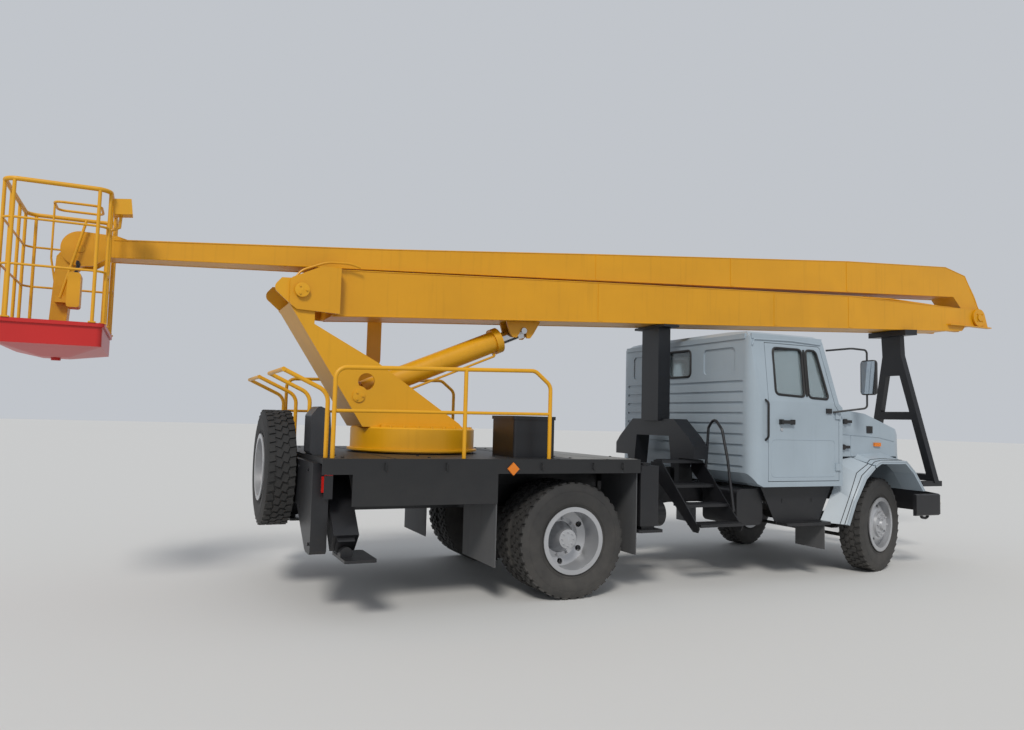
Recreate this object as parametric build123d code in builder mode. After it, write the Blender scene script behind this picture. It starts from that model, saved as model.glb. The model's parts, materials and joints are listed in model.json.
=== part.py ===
from build123d import *
import os
from math import atan2, cos, degrees, hypot, radians, sin

os.makedirs("parts", exist_ok=True)

# A truck with a folding two-boom lift and a work basket. Lengths are in millimetres,
# X points forward, Y to the left and Z up, and the tyres stand on z = 0.
# Every x below is measured from the rear axle, which stands at rear_axle_x.
rear_axle_x = -1305.0
run_gap = 0.3
clear = 6.0

# Wheels and axles
wheelbase = 3800.0
tyre_radius = 500.0
tyre_width = 255.0
tread_half = 92.0
bead_radius = 258.0
rim_flange_radius = 288.0
rim_flange = 10.0
rim_inner_radius = 248.0
disc_thickness = 14.0
hub_radius = 75.0
spindle_radius = 40.0
hub_flange_radius = 138.0
hand_hole_radius = 26.0
hand_hole_circle = 198.0
front_wheel_y = 965.0
kingpin_y = 820.0
kingpin_radius = 24.0
steer_rest = 17.0
rear_inner_y = 780.0
rear_outer_y = 1070.0
front_beam_drop = 60.0
front_beam_height = 95.0
front_beam_width = 90.0
beam_flat_y = 520.0
knuckle_boss_radius = 48.0
knuckle_boss_half = 75.0
fork_plate = 34.0
steering_arm = 190.0
arm_inset = 0.28
track_rod_radius = 19.0
rod_eye_radius = 26.0
rear_tube_radius = 68.0
banjo_radius = 205.0
banjo_half = 150.0
pinion_length = 330.0
pinion_radius = 75.0
rear_spindle_radius = 52.0

# Frame and springs
rail_outer_y = 432.0
rail_flange = 80.0
rail_web = 9.0
frame_top_z = 930.0
frame_height = 210.0
frame_rear_x = -2100.0
frame_front_x = 4600.0
cross_tube_radius = 42.0
spring_leaf = 11.0
spring_width = 75.0
front_spring_half = 650.0
rear_spring_half = 590.0
spring_sag = 85.0
front_leaves = 7
rear_leaves = 9

# Engine, gearbox and shaft
engine_rear_x = 3220.0
engine_front_x = 4020.0
engine_half = 300.0
engine_bottom_z = 740.0
engine_top_z = 1400.0
gearbox_rear_x = 2330.0
gearbox_half = 175.0
gearbox_z = 800.0
shaft_radius = 45.0
radiator_x = 4105.0
radiator_depth = 70.0
radiator_half = 340.0

# Cab
cab_rear_x = 2000.0
cab_half = 1180.0
cab_wall = 45.0
roof_edge_z = 2420.0
roof_top_z = 2510.0
cab_sill_z = 930.0
cab_rear_floor_z = 1060.0
cab_belt_z = 1780.0
tumblehome = 70.0
door_rear_x = 2190.0
door_front_x = 3150.0
door_gap = 6.0
scuttle_x = 3200.0
cowl_z = 1740.0
screen_bottom_x = 3150.0
screen_top_x = 2980.0
glass = 6.0

# Bonnet and front end
bonnet_front_x = 4270.0
bonnet_half = 1090.0
bonnet_front_half = 1010.0
bonnet_wall = 16.0
flare_outer_y = 1250.0
flare_inner_y = 1060.0
bonnet_hinge_x = 4560.0
bonnet_hinge_z = 790.0
bumper_low_z = 590.0
bumper_top_z = 825.0
bumper_front_x = 4920.0
bumper_corner_x = 4700.0
bumper_half = 1190.0
bumper_wall = 45.0

# Deck
deck_rear_x = -2180.0
deck_front_x = 640.0
deck_half = 1250.0
deck_top_z = 1200.0
deck_plate = 40.0
skirt_low_z = 840.0
skirt = 10.0
arch_z = 1080.0

# Turret
slew_x = -1095.0
drum_radius = 580.0
drum_low_z = 1210.0
drum_top_z = 1430.0
drum_plate = 25.0
drum_wall = 15.0
ring_radius = 470.0
column_half = 300.0
column_plate = 20.0
boom_pin_x = -2235.0
boom_pin_z = 2590.0
boom_pin_radius = 40.0
lift_base_x = -1700.0
lift_base_z = 1700.0
lift_eye_x = 0.0
lift_eye_z = 2420.0
barrel_radius = 105.0
rod_radius = 62.0

# Booms
lower_half = 220.0
lower_wall = 12.0
cheek_gap = 6.0
cheek_plate = 20.0
elbow_x = 6810.0
elbow_z = 3080.0
elbow_pin_radius = 32.0
elbow_disc_radius = 118.0
elbow_disc = 26.0
upper_half = 165.0
upper_tip_half = 120.0
upper_wall = 10.0
basket_pin_x = -3930.0
basket_pin_z = 2790.0
basket_pin_radius = 30.0
head_radius = 140.0
head_plate = 20.0

# Basket
basket_rear_x = -4420.0
basket_front_x = -3700.0
basket_half = 600.0
pan_top_z = 2160.0
pan_low_z = 1985.0
pan_apex_z = 1920.0
rail_top_z = 3170.0
rail_mid_z = 2890.0
rail_low_z = 2550.0
tube_thick = 17.0
tube_thin = 9.0


def side_plane(y):
    # Sketches on it are drawn as (x, z) and extrude towards the right, -Y.
    return Plane(origin=(rear_axle_x, y, 0), x_dir=(1, 0, 0), z_dir=(0, -1, 0))


def cross_plane(x):
    # Sketches on it are drawn as (y, z) and extrude forward, +X.
    return Plane(origin=(rear_axle_x + x, 0, 0), x_dir=(0, 1, 0), z_dir=(1, 0, 0))


def level_plane(z):
    # Sketches on it are drawn as (x, y) and extrude up, +Z.
    return Plane(origin=(rear_axle_x, 0, z))


def axle_plane(x, y, z, outward):
    # Sketches on it are drawn as (distance outward, height above the axle).
    normal = (outward[1], -outward[0], 0)
    return Plane(origin=(rear_axle_x + x, y, z), x_dir=outward, z_dir=normal)


def point(x, y, z):
    return Vector(rear_axle_x + x, y, z)


def on_line(start, end, x):
    # Height at x of the straight line through two (x, z) points.
    return start[1] + (end[1] - start[1]) * (x - start[0]) / (end[0] - start[0])


def tyre_outline(plane, middle):
    half = tyre_width / 2
    with BuildSketch(plane) as outline:
        with BuildLine():
            Polyline(
                (middle - tread_half, tyre_radius),
                (middle + tread_half, tyre_radius),
                (middle + half * 0.93, tyre_radius * 0.95),
            )
            ThreePointArc(
                (middle + half * 0.93, tyre_radius * 0.95),
                (middle + half, tyre_radius * 0.78),
                (middle + half * 0.74, bead_radius),
            )
            Line((middle + half * 0.74, bead_radius), (middle - half * 0.74, bead_radius))
            ThreePointArc(
                (middle - half * 0.74, bead_radius),
                (middle - half, tyre_radius * 0.78),
                (middle - half * 0.93, tyre_radius * 0.95),
            )
            Line((middle - half * 0.93, tyre_radius * 0.95), (middle - tread_half, tyre_radius))
        make_face()
    return outline.sketch


def rim_outline(plane, middle):
    # The well of a rim, with a flange at each end that holds the tyre's beads.
    half = tyre_width / 2
    seat = bead_radius - run_gap
    with BuildSketch(plane) as outline:
        with BuildLine():
            Polyline(
                (middle - half, rim_inner_radius),
                (middle + half, rim_inner_radius),
                (middle + half, rim_flange_radius),
                (middle + half - rim_flange, rim_flange_radius),
                (middle + half - rim_flange, seat),
                (middle - half + rim_flange, seat),
                (middle - half + rim_flange, rim_flange_radius),
                (middle - half, rim_flange_radius),
                close=True,
            )
        make_face()
    return outline.sketch


def axle_line(plane):
    return Axis(plane.origin, plane.x_dir)


# Each leaf is a slice of concentric arcs, so the leaves lie face to face.
def leaf_spring(plane, middle_x, half, leaves, seat_z):
    radius = (half**2 + spring_sag**2) / (2 * spring_sag)
    centre_z = seat_z + leaves * spring_leaf + radius
    with BuildSketch(plane) as pack:
        for leaf in range(leaves):
            upper = radius + leaf * spring_leaf
            lower = upper + spring_leaf
            reach = half * (1 - leaf / (leaves + 1))
            upper_end_z = centre_z - (upper**2 - reach**2) ** 0.5
            lower_end_z = centre_z - (lower**2 - reach**2) ** 0.5
            with BuildLine():
                ThreePointArc(
                    (middle_x - reach, upper_end_z),
                    (middle_x, centre_z - upper),
                    (middle_x + reach, upper_end_z),
                )
                Line((middle_x + reach, upper_end_z), (middle_x + reach, lower_end_z))
                ThreePointArc(
                    (middle_x + reach, lower_end_z),
                    (middle_x, centre_z - lower),
                    (middle_x - reach, lower_end_z),
                )
                Line((middle_x - reach, lower_end_z), (middle_x - reach, upper_end_z))
            make_face()
    return pack.sketch


# Frame: two channel rails with tubular cross members.
frame_bottom_z = frame_top_z - frame_height
rail_inner_y = rail_outer_y - rail_web
with BuildPart() as chassis_frame:
    with BuildSketch(cross_plane(frame_rear_x)):
        with BuildLine():
            Polyline(
                (rail_outer_y, frame_bottom_z),
                (rail_outer_y, frame_top_z),
                (rail_outer_y - rail_flange, frame_top_z),
                (rail_outer_y - rail_flange, frame_top_z - rail_web),
                (rail_inner_y, frame_top_z - rail_web),
                (rail_inner_y, frame_bottom_z + rail_web),
                (rail_outer_y - rail_flange, frame_bottom_z + rail_web),
                (rail_outer_y - rail_flange, frame_bottom_z),
                close=True,
            )
        make_face()
    extrude(amount=frame_front_x - frame_rear_x)
    mirror(about=Plane.XZ)
    cross_member_x = (-2020, -950, 900, 2240, 4230)
    for x in cross_member_x:
        with BuildSketch(side_plane(0)):
            with Locations((x, frame_top_z - frame_height * 0.32)):
                Circle(cross_tube_radius)
        extrude(amount=rail_inner_y, both=True)
chassis_frame.part.label = "chassis_frame"
export_step(chassis_frame.part, "parts/chassis_frame.step")

# Front axle: a dropped forged beam with an upright boss for each kingpin.
front_seat_z = tyre_radius - front_beam_drop + front_beam_height / 2
with BuildPart() as front_axle:
    end_z = tyre_radius + front_beam_height / 2
    with BuildSketch(cross_plane(wheelbase)):
        with BuildLine():
            Polyline(
                (0, front_seat_z),
                (beam_flat_y, front_seat_z),
                (beam_flat_y + front_beam_drop * 2, end_z),
                (kingpin_y, end_z),
                (kingpin_y, end_z - front_beam_height),
                (beam_flat_y + front_beam_drop * 2, end_z - front_beam_height),
                (beam_flat_y, front_seat_z - front_beam_height),
                (0, front_seat_z - front_beam_height),
                close=True,
            )
        make_face()
    extrude(amount=front_beam_width / 2, both=True)
    with BuildSketch(level_plane(tyre_radius)):
        with Locations((wheelbase, kingpin_y)):
            Circle(knuckle_boss_radius)
    extrude(amount=knuckle_boss_half, both=True)
    with BuildSketch(level_plane(tyre_radius)):
        with Locations((wheelbase, kingpin_y)):
            Circle(kingpin_radius + run_gap)
    extrude(amount=knuckle_boss_half, both=True, mode=Mode.SUBTRACT)
    mirror(about=Plane.XZ)
front_axle.part.label = "front_axle"
export_step(front_axle.part, "parts/front_axle.step")

# Rear axle: banjo housing with a pinion nose, tubes, brake plates and spindles.
twin_middle_y = (rear_inner_y + rear_outer_y) / 2
twin_offset = (rear_outer_y - rear_inner_y) / 2
rear_spindle_end = twin_middle_y + twin_offset
rear_seat_z = tyre_radius + rear_tube_radius + 12
rear_spring_y = rail_outer_y + run_gap + spring_width / 2
with BuildPart() as rear_axle:
    with BuildSketch(side_plane(0)):
        with Locations((0, tyre_radius)):
            Circle(banjo_radius)
    extrude(amount=banjo_half, both=True)
    fillet(rear_axle.edges().filter_by(GeomType.CIRCLE), banjo_half * 0.5)
    with BuildSketch(side_plane(0)):
        with BuildLine():
            Polyline(
                (0, tyre_radius),
                (0, tyre_radius + banjo_half * 0.9),
                (banjo_radius, tyre_radius + banjo_half * 0.75),
                (pinion_length - 14, tyre_radius + pinion_radius * 0.7),
                (pinion_length - 14, tyre_radius + pinion_radius),
                (pinion_length, tyre_radius + pinion_radius),
                (pinion_length, tyre_radius),
                close=True,
            )
        make_face()
    revolve(axis=Axis(point(0, 0, tyre_radius), (1, 0, 0)))
    with BuildSketch(side_plane(0)):
        with Locations((0, tyre_radius)):
            Circle(rear_tube_radius)
    extrude(amount=rear_inner_y - tyre_width / 2, both=True)
    with BuildSketch(side_plane(0)):
        with Locations((0, tyre_radius)):
            Circle(rear_spindle_radius)
    extrude(amount=rear_spindle_end, both=True)
    for sign in (1, -1):
        with BuildSketch(side_plane(sign * rear_spring_y)):
            with Locations((0, rear_seat_z - 40)):
                Rectangle(150, 80)
        extrude(amount=spring_width / 2, both=True)
rear_axle.part.label = "rear_axle"
export_step(rear_axle.part, "parts/rear_axle.step")

# Leaf springs: the front pair hangs below the rails, the rear pair beside them.
front_spring_y = rail_outer_y - spring_width / 2
with BuildPart() as leaf_springs:
    springs = (
        # x, y, half length, leaves, seat z, bracket top z
        (
            wheelbase,
            front_spring_y,
            front_spring_half,
            front_leaves,
            front_seat_z + run_gap,
            frame_bottom_z - run_gap,
        ),
        (
            0,
            rear_spring_y,
            rear_spring_half,
            rear_leaves,
            rear_seat_z + run_gap,
            frame_top_z - 40,
        ),
    )
    for x, y, half, leaves, seat_z, bracket_z in springs:
        extrude(leaf_spring(side_plane(y), x, half, leaves, seat_z), amount=spring_width / 2, both=True)
        eye_z = seat_z + leaves * spring_leaf + spring_sag
        for eye_x in (x - half, x + half):
            with BuildSketch(side_plane(y)):
                with BuildLine():
                    Polyline(
                        (eye_x - 75, bracket_z),
                        (eye_x + 75, bracket_z),
                        (eye_x + 34, eye_z - 34),
                        (eye_x - 34, eye_z - 34),
                        close=True,
                    )
                make_face()
            extrude(amount=spring_width / 2, both=True)
    mirror(about=Plane.XZ)
leaf_springs.part.label = "leaf_springs"
export_step(leaf_springs.part, "parts/leaf_springs.step")

# Steered knuckles and front wheels, turned to the left as the truck stands.
steer = radians(steer_rest)
wheel_offset = front_wheel_y - kingpin_y
fork_inner = knuckle_boss_half + run_gap
fork_outer = fork_inner + fork_plate
stub_start = 100.0
stub_end = wheel_offset + 95
track_rod_z = tyre_radius - fork_outer - clear - track_rod_radius - 8
hub_start = stub_start + 34
for side, sign in (("left", 1), ("right", -1)):
    outward = (-sign * sin(steer), sign * cos(steer), 0)
    stub = axle_plane(wheelbase, sign * kingpin_y, tyre_radius, outward)
    with BuildPart() as knuckle:
        with BuildSketch(stub):
            with BuildLine():
                Polyline(
                    (0, fork_inner),
                    (0, fork_outer),
                    (stub_start, fork_outer * 0.8),
                    (stub_start, -fork_outer * 0.8),
                    (0, -fork_outer),
                    (0, -fork_inner),
                    (stub_start - 35, -fork_inner),
                    (stub_start - 35, fork_inner),
                    close=True,
                )
            make_face()
        extrude(amount=front_beam_width / 2, both=True)
        for low, high in ((fork_inner, fork_outer), (-fork_outer, -fork_inner)):
            with BuildSketch(level_plane(tyre_radius + low)):
                with Locations((wheelbase, sign * kingpin_y)):
                    Circle(front_beam_width / 2)
            extrude(amount=high - low)
        with BuildSketch(level_plane(tyre_radius)):
            with Locations((wheelbase, sign * kingpin_y)):
                Circle(kingpin_radius)
        extrude(amount=fork_outer + 6, both=True)
        with BuildSketch(stub):
            with BuildLine():
                Polyline(
                    (stub_start, 0),
                    (stub_start, 85),
                    (stub_start + 12, 85),
                    (stub_start + 12, 190),
                    (stub_start + 20, 190),
                    (stub_start + 20, 70),
                    (stub_start + 32, spindle_radius),
                    (stub_end, spindle_radius),
                    (stub_end, 0),
                    close=True,
                )
            make_face()
        revolve(axis=axle_line(stub))
        # The track arm reaches back from the lower fork plate, with its ball stud below.
        inset = sign * arm_inset
        arm_way = (-cos(steer) + inset * sin(steer), -sin(steer) - inset * cos(steer), 0)
        arm = Plane(
            origin=point(wheelbase, sign * kingpin_y, tyre_radius - fork_outer),
            x_dir=arm_way,
            z_dir=(0, 0, 1),
        )
        with BuildSketch(arm):
            with Locations((steering_arm / 2, 0)):
                SlotCenterToCenter(steering_arm, 52)
        extrude(amount=fork_plate * 0.8)
        with BuildSketch(arm):
            with Locations((steering_arm, 0)):
                Circle(17)
        extrude(amount=-(clear + 8 - run_gap))
    knuckle.part.label = f"knuckle_{side}"
    export_step(knuckle.part, f"parts/knuckle_{side}.step")

    with BuildPart() as front_wheel:
        add(rim_outline(stub, wheel_offset))
        revolve(axis=axle_line(stub))
        disc_start = wheel_offset + tyre_width * 0.14
        disc_end = wheel_offset + tyre_width * 0.36
        with BuildSketch(stub):
            with BuildLine():
                Polyline(
                    (disc_start, rim_inner_radius + 2),
                    (disc_start + disc_thickness, rim_inner_radius + 2),
                    (disc_end + disc_thickness, hub_flange_radius + 22),
                    (disc_end + disc_thickness, hub_flange_radius),
                    (disc_end + disc_thickness + 22, hub_flange_radius - 6),
                    (disc_end + disc_thickness + 26, 62),
                    (disc_end + disc_thickness + 52, 54),
                    (disc_end + disc_thickness + 56, 0),
                    (stub_end + 2, 0),
                    (stub_end + 2, spindle_radius + run_gap),
                    (hub_start, spindle_radius + run_gap),
                    (hub_start, hub_radius),
                    (disc_end, hub_radius),
                    (disc_end, hub_flange_radius + 22),
                    close=True,
                )
            make_face()
        revolve(axis=axle_line(stub))
        hand_holes = Plane(
            origin=stub.origin + stub.x_dir * (disc_start - 20), x_dir=(0, 0, 1), z_dir=stub.x_dir
        )
        with BuildSketch(hand_holes):
            with PolarLocations(hand_hole_circle, 5):
                Circle(hand_hole_radius)
        extrude(amount=tyre_width * 0.4, mode=Mode.SUBTRACT)
    front_wheel.part.label = f"front_wheel_{side}"
    export_step(front_wheel.part, f"parts/front_wheel_{side}.step")

    with BuildPart() as front_tyre:
        add(tyre_outline(stub, wheel_offset))
        revolve(axis=axle_line(stub))
    front_tyre.part.label = f"front_tyre_{side}"
    export_step(front_tyre.part, f"parts/front_tyre_{side}.step")

    # Rear twins share one hub: the discs meet in the middle and the hub reads outward.
    twin = axle_plane(0, sign * twin_middle_y, tyre_radius, (0, sign, 0))
    with BuildPart() as rear_wheel:
        for middle in (-twin_offset, twin_offset):
            add(rim_outline(twin, middle))
        revolve(axis=axle_line(twin))
        with BuildSketch(twin):
            with BuildLine():
                Polyline(
                    (-twin_offset, hub_radius),
                    (-disc_thickness, hub_radius + 25),
                    (-disc_thickness, hub_flange_radius + 40),
                    (-40, rim_inner_radius + 2),
                    (-40 + disc_thickness, rim_inner_radius + 2),
                    (0, hub_flange_radius + 45),
                    (40 - disc_thickness, rim_inner_radius + 2),
                    (40, rim_inner_radius + 2),
                    (disc_thickness, hub_flange_radius + 40),
                    (disc_thickness, hub_flange_radius),
                    (disc_thickness + 16, hub_flange_radius - 8),
                    (twin_offset - 10, hub_radius + 12),
                    (twin_offset + 20, hub_radius + 8),
                    (twin_offset + 24, 0),
                    (twin_offset + 2, 0),
                    (twin_offset + 2, rear_spindle_radius + run_gap),
                    (-twin_offset, rear_spindle_radius + run_gap),
                    close=True,
                )
            make_face()
        revolve(axis=axle_line(twin))
        hand_holes = Plane(
            origin=twin.origin - twin.x_dir * 60, x_dir=(0, 0, 1), z_dir=twin.x_dir
        )
        with BuildSketch(hand_holes):
            with PolarLocations(hand_hole_circle + 14, 6):
                Circle(hand_hole_radius)
        extrude(amount=120, mode=Mode.SUBTRACT)
    rear_wheel.part.label = f"rear_wheel_{side}"
    export_step(rear_wheel.part, f"parts/rear_wheel_{side}.step")

    with BuildPart() as rear_tyres:
        for middle in (-twin_offset, twin_offset):
            add(tyre_outline(twin, middle))
        revolve(axis=axle_line(twin))
    rear_tyres.part.label = f"rear_tyres_{side}"
    export_step(rear_tyres.part, f"parts/rear_tyres_{side}.step")

# The track rod slides across below the two track arms.
arm_shift = steering_arm * sin(steer)
with BuildPart() as track_rod:
    rod_x = wheelbase - steering_arm * cos(steer)
    half_rod = kingpin_y - steering_arm * arm_inset * cos(steer)
    with BuildSketch(side_plane(-arm_shift)):
        with Locations((rod_x, track_rod_z)):
            Circle(track_rod_radius)
    extrude(amount=half_rod, both=True)
    with BuildSketch(level_plane(track_rod_z - track_rod_radius)):
        with Locations((rod_x, -arm_shift + half_rod), (rod_x, -arm_shift - half_rod)):
            Circle(rod_eye_radius)
    extrude(amount=track_rod_radius * 2)
track_rod.part.label = "track_rod"
export_step(track_rod.part, "parts/track_rod.step")

# Engine and gearbox as one plain block with the radiator ahead, between the rails.
with BuildPart() as engine:
    with BuildSketch(side_plane(0)):
        with BuildLine():
            Polyline(
                (engine_rear_x, engine_bottom_z),
                (engine_front_x, engine_bottom_z),
                (engine_front_x, engine_top_z - 120),
                (engine_front_x - 120, engine_top_z),
                (engine_rear_x + 80, engine_top_z),
                (engine_rear_x, engine_top_z - 80),
                close=True,
            )
        make_face()
    extrude(amount=engine_half, both=True)
    with BuildSketch(cross_plane(gearbox_rear_x)):
        with Locations((0, gearbox_z)):
            Rectangle(gearbox_half * 1.5, 220)
    with BuildSketch(cross_plane(engine_rear_x)):
        with Locations((0, gearbox_z - 10)):
            Rectangle(gearbox_half * 2.6, 240)
    loft()
    for x in (engine_rear_x + 120, engine_front_x - 160):
        with BuildSketch(side_plane(0)):
            with Locations((x, frame_bottom_z + frame_height / 2)):
                Rectangle(110, 60)
        extrude(amount=rail_inner_y - run_gap, both=True)
    with BuildSketch(side_plane(0)):
        with Locations((radiator_x, 1110)):
            Rectangle(radiator_depth, 620)
    extrude(amount=radiator_half, both=True)
    with BuildSketch(side_plane(0)):
        with Locations((radiator_x, frame_bottom_z + frame_height / 2 + 20)):
            Rectangle(radiator_depth, 80)
    extrude(amount=rail_inner_y - run_gap, both=True)
engine.part.label = "engine"
export_step(engine.part, "parts/engine.step")

# Propeller shaft from the gearbox down to the pinion, with a flange at each end.
with BuildPart() as propeller_shaft:
    start = point(pinion_length + run_gap, 0, tyre_radius)
    end = point(gearbox_rear_x - run_gap, 0, gearbox_z - 20)
    for flange_at, way in ((start, 1), (end, -1)):
        with BuildSketch(Plane(origin=flange_at, z_dir=(way, 0, 0))):
            Circle(pinion_radius)
        extrude(amount=16)
    inner_start = start + Vector(12, 0, 0)
    inner_end = end - Vector(12, 0, 0)
    shaft_way = inner_end - inner_start
    with BuildSketch(Plane(origin=inner_start, z_dir=shaft_way)):
        Circle(shaft_radius)
    extrude(amount=shaft_way.length)
propeller_shaft.part.label = "propeller_shaft"
export_step(propeller_shaft.part, "parts/propeller_shaft.step")


# The cab's outer form drawn in by an inset: side view, plan and front view together.
def cab_form(inset):
    with BuildPart() as form:
        with BuildSketch(side_plane(0)):
            with BuildLine():
                Polyline(
                    (cab_rear_x, roof_edge_z),
                    (cab_rear_x, cab_rear_floor_z),
                    (cab_rear_x + 70, cab_sill_z + 30),
                    (cab_rear_x + 130, cab_sill_z),
                    (scuttle_x, cab_sill_z),
                    (scuttle_x, cowl_z),
                    (screen_bottom_x, cab_belt_z),
                    (screen_top_x, roof_edge_z + 30),
                    (screen_top_x - 60, roof_top_z - 12),
                    (cab_rear_x + 400, roof_top_z + 8),
                    (cab_rear_x + 70, roof_top_z - 15),
                    close=True,
                )
            make_face()
            if inset:
                offset(amount=-inset, kind=Kind.INTERSECTION, mode=Mode.REPLACE)
        extrude(amount=cab_half, both=True)
        with BuildSketch(level_plane(0)):
            with Locations(((cab_rear_x + scuttle_x) / 2, 0)):
                Rectangle(scuttle_x - cab_rear_x, cab_half * 2)
            fillet(vertices().group_by(Axis.X)[0], 130)
            if inset:
                offset(amount=-inset, kind=Kind.INTERSECTION, mode=Mode.REPLACE)
        extrude(amount=roof_top_z * 1.2, mode=Mode.INTERSECT)
        with BuildSketch(cross_plane(cab_rear_x - 50)):
            with BuildLine():
                Polyline(
                    (-cab_half + tumblehome, roof_edge_z),
                    (-cab_half, cab_belt_z),
                    (-cab_half, cab_sill_z),
                    (cab_half, cab_sill_z),
                    (cab_half, cab_belt_z),
                    (cab_half - tumblehome, roof_edge_z),
                    (cab_half - tumblehome - 90, roof_top_z - 30),
                )
                ThreePointArc(
                    (cab_half - tumblehome - 90, roof_top_z - 30),
                    (0, roof_top_z),
                    (-cab_half + tumblehome + 90, roof_top_z - 30),
                )
                Line(
                    (-cab_half + tumblehome + 90, roof_top_z - 30),
                    (-cab_half + tumblehome, roof_edge_z),
                )
            make_face()
            if inset:
                offset(amount=-inset, kind=Kind.INTERSECTION, mode=Mode.REPLACE)
        extrude(amount=scuttle_x - cab_rear_x + 100, mode=Mode.INTERSECT)
    return form.part


door_low_z = cab_sill_z + cab_wall + clear
door_depth_y = cab_half - tumblehome - cab_wall - 14


def door_prism(side_sign, gap):
    # The door's opening from the cab's middle outward, drawn in by a gap all round.
    with BuildPart() as prism:
        with BuildSketch(side_plane(side_sign * door_depth_y)):
            with BuildLine():
                Polyline(
                    (door_rear_x, door_low_z),
                    (door_front_x, door_low_z),
                    (door_front_x, cab_belt_z - 80),
                    (door_front_x - 55, cab_belt_z - 15),
                    (screen_top_x - 35, roof_edge_z - 70),
                    (screen_top_x - 65, roof_edge_z - 50),
                    (door_rear_x, roof_edge_z - 50),
                    close=True,
                )
            make_face()
            if gap:
                offset(amount=-gap, kind=Kind.INTERSECTION, mode=Mode.REPLACE)
        extrude(amount=-side_sign * 300)
    return prism.part


def window_prism(side_sign, trim):
    # The door's drop window and its quarter light.
    with BuildPart() as prism:
        with BuildSketch(side_plane(side_sign * door_depth_y)):
            with BuildLine():
                Polyline(
                    (door_rear_x + 105, cab_belt_z + 70),
                    (door_rear_x + 490, cab_belt_z + 55),
                    (door_rear_x + 490, roof_edge_z - 100),
                    (door_rear_x + 105, roof_edge_z - 100),
                    close=True,
                )
            make_face()
            with BuildLine():
                Polyline(
                    (door_rear_x + 545, cab_belt_z + 50),
                    (door_rear_x + 820, cab_belt_z + 40),
                    (door_rear_x + 688, roof_edge_z - 100),
                    (door_rear_x + 545, roof_edge_z - 100),
                    close=True,
                )
            make_face()
            fillet(vertices(), 38)
            if trim:
                offset(amount=-trim, mode=Mode.REPLACE)
        extrude(amount=-side_sign * 300)
    return prism.part


def screen_prism(trim):
    # Windscreen and rear window, looking along the truck.
    with BuildPart() as prism:
        with BuildSketch(cross_plane(cab_rear_x + 700)):
            with BuildLine():
                Polyline(
                    (-cab_half + 130, cab_belt_z + 40),
                    (cab_half - 130, cab_belt_z + 40),
                    (cab_half - tumblehome - 130, roof_edge_z - 40),
                    (-cab_half + tumblehome + 130, roof_edge_z - 40),
                    close=True,
                )
            make_face()
            fillet(vertices(), 60)
            if trim:
                offset(amount=-trim, mode=Mode.REPLACE)
        extrude(amount=600)
        with BuildSketch(cross_plane(cab_rear_x - 20)):
            with Locations((0, roof_edge_z - 225)):
                RectangleRounded(400 - 2 * trim, 290 - 2 * trim, 45)
        extrude(amount=120)
    return prism.part


cab_outer = cab_form(0)
cab_inner = cab_form(cab_wall)
pane_outer = cab_form(cab_wall / 2 - glass / 2)
pane_inner = cab_form(cab_wall / 2 + glass / 2)

# Cab shell: one wall thickness all round, with its openings and the ribbed back.
rear_rib_pitch = 107.0
rear_rib_height = 30.0
rear_rib_depth = 12.0
with BuildPart() as cab_shell:
    add(cab_outer)
    add(cab_inner, mode=Mode.SUBTRACT)
    add(door_prism(1, 0), mode=Mode.SUBTRACT)
    add(door_prism(-1, 0), mode=Mode.SUBTRACT)
    add(screen_prism(0), mode=Mode.SUBTRACT)
    with BuildSketch(cross_plane(cab_rear_x)):
        with Locations((0, roof_edge_z - 450 - 4 * rear_rib_pitch)):
            with GridLocations(0, rear_rib_pitch, 1, 9):
                RectangleRounded(cab_half * 1.74, rear_rib_height, rear_rib_height * 0.45)
        for sign in (1, -1):
            with Locations((sign * cab_half * 0.563, roof_edge_z - 228)):
                RectangleRounded(cab_half * 0.42, 270, 50)
    extrude(amount=rear_rib_depth, mode=Mode.SUBTRACT)
cab_shell.part.label = "cab_shell"
export_step(cab_shell.part, "parts/cab_shell.step")

with BuildPart() as cab_glass:
    add(pane_outer)
    add(pane_inner, mode=Mode.SUBTRACT)
    add(screen_prism(run_gap), mode=Mode.INTERSECT)
cab_glass.part.label = "cab_glass"
export_step(cab_glass.part, "parts/cab_glass.step")

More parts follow.
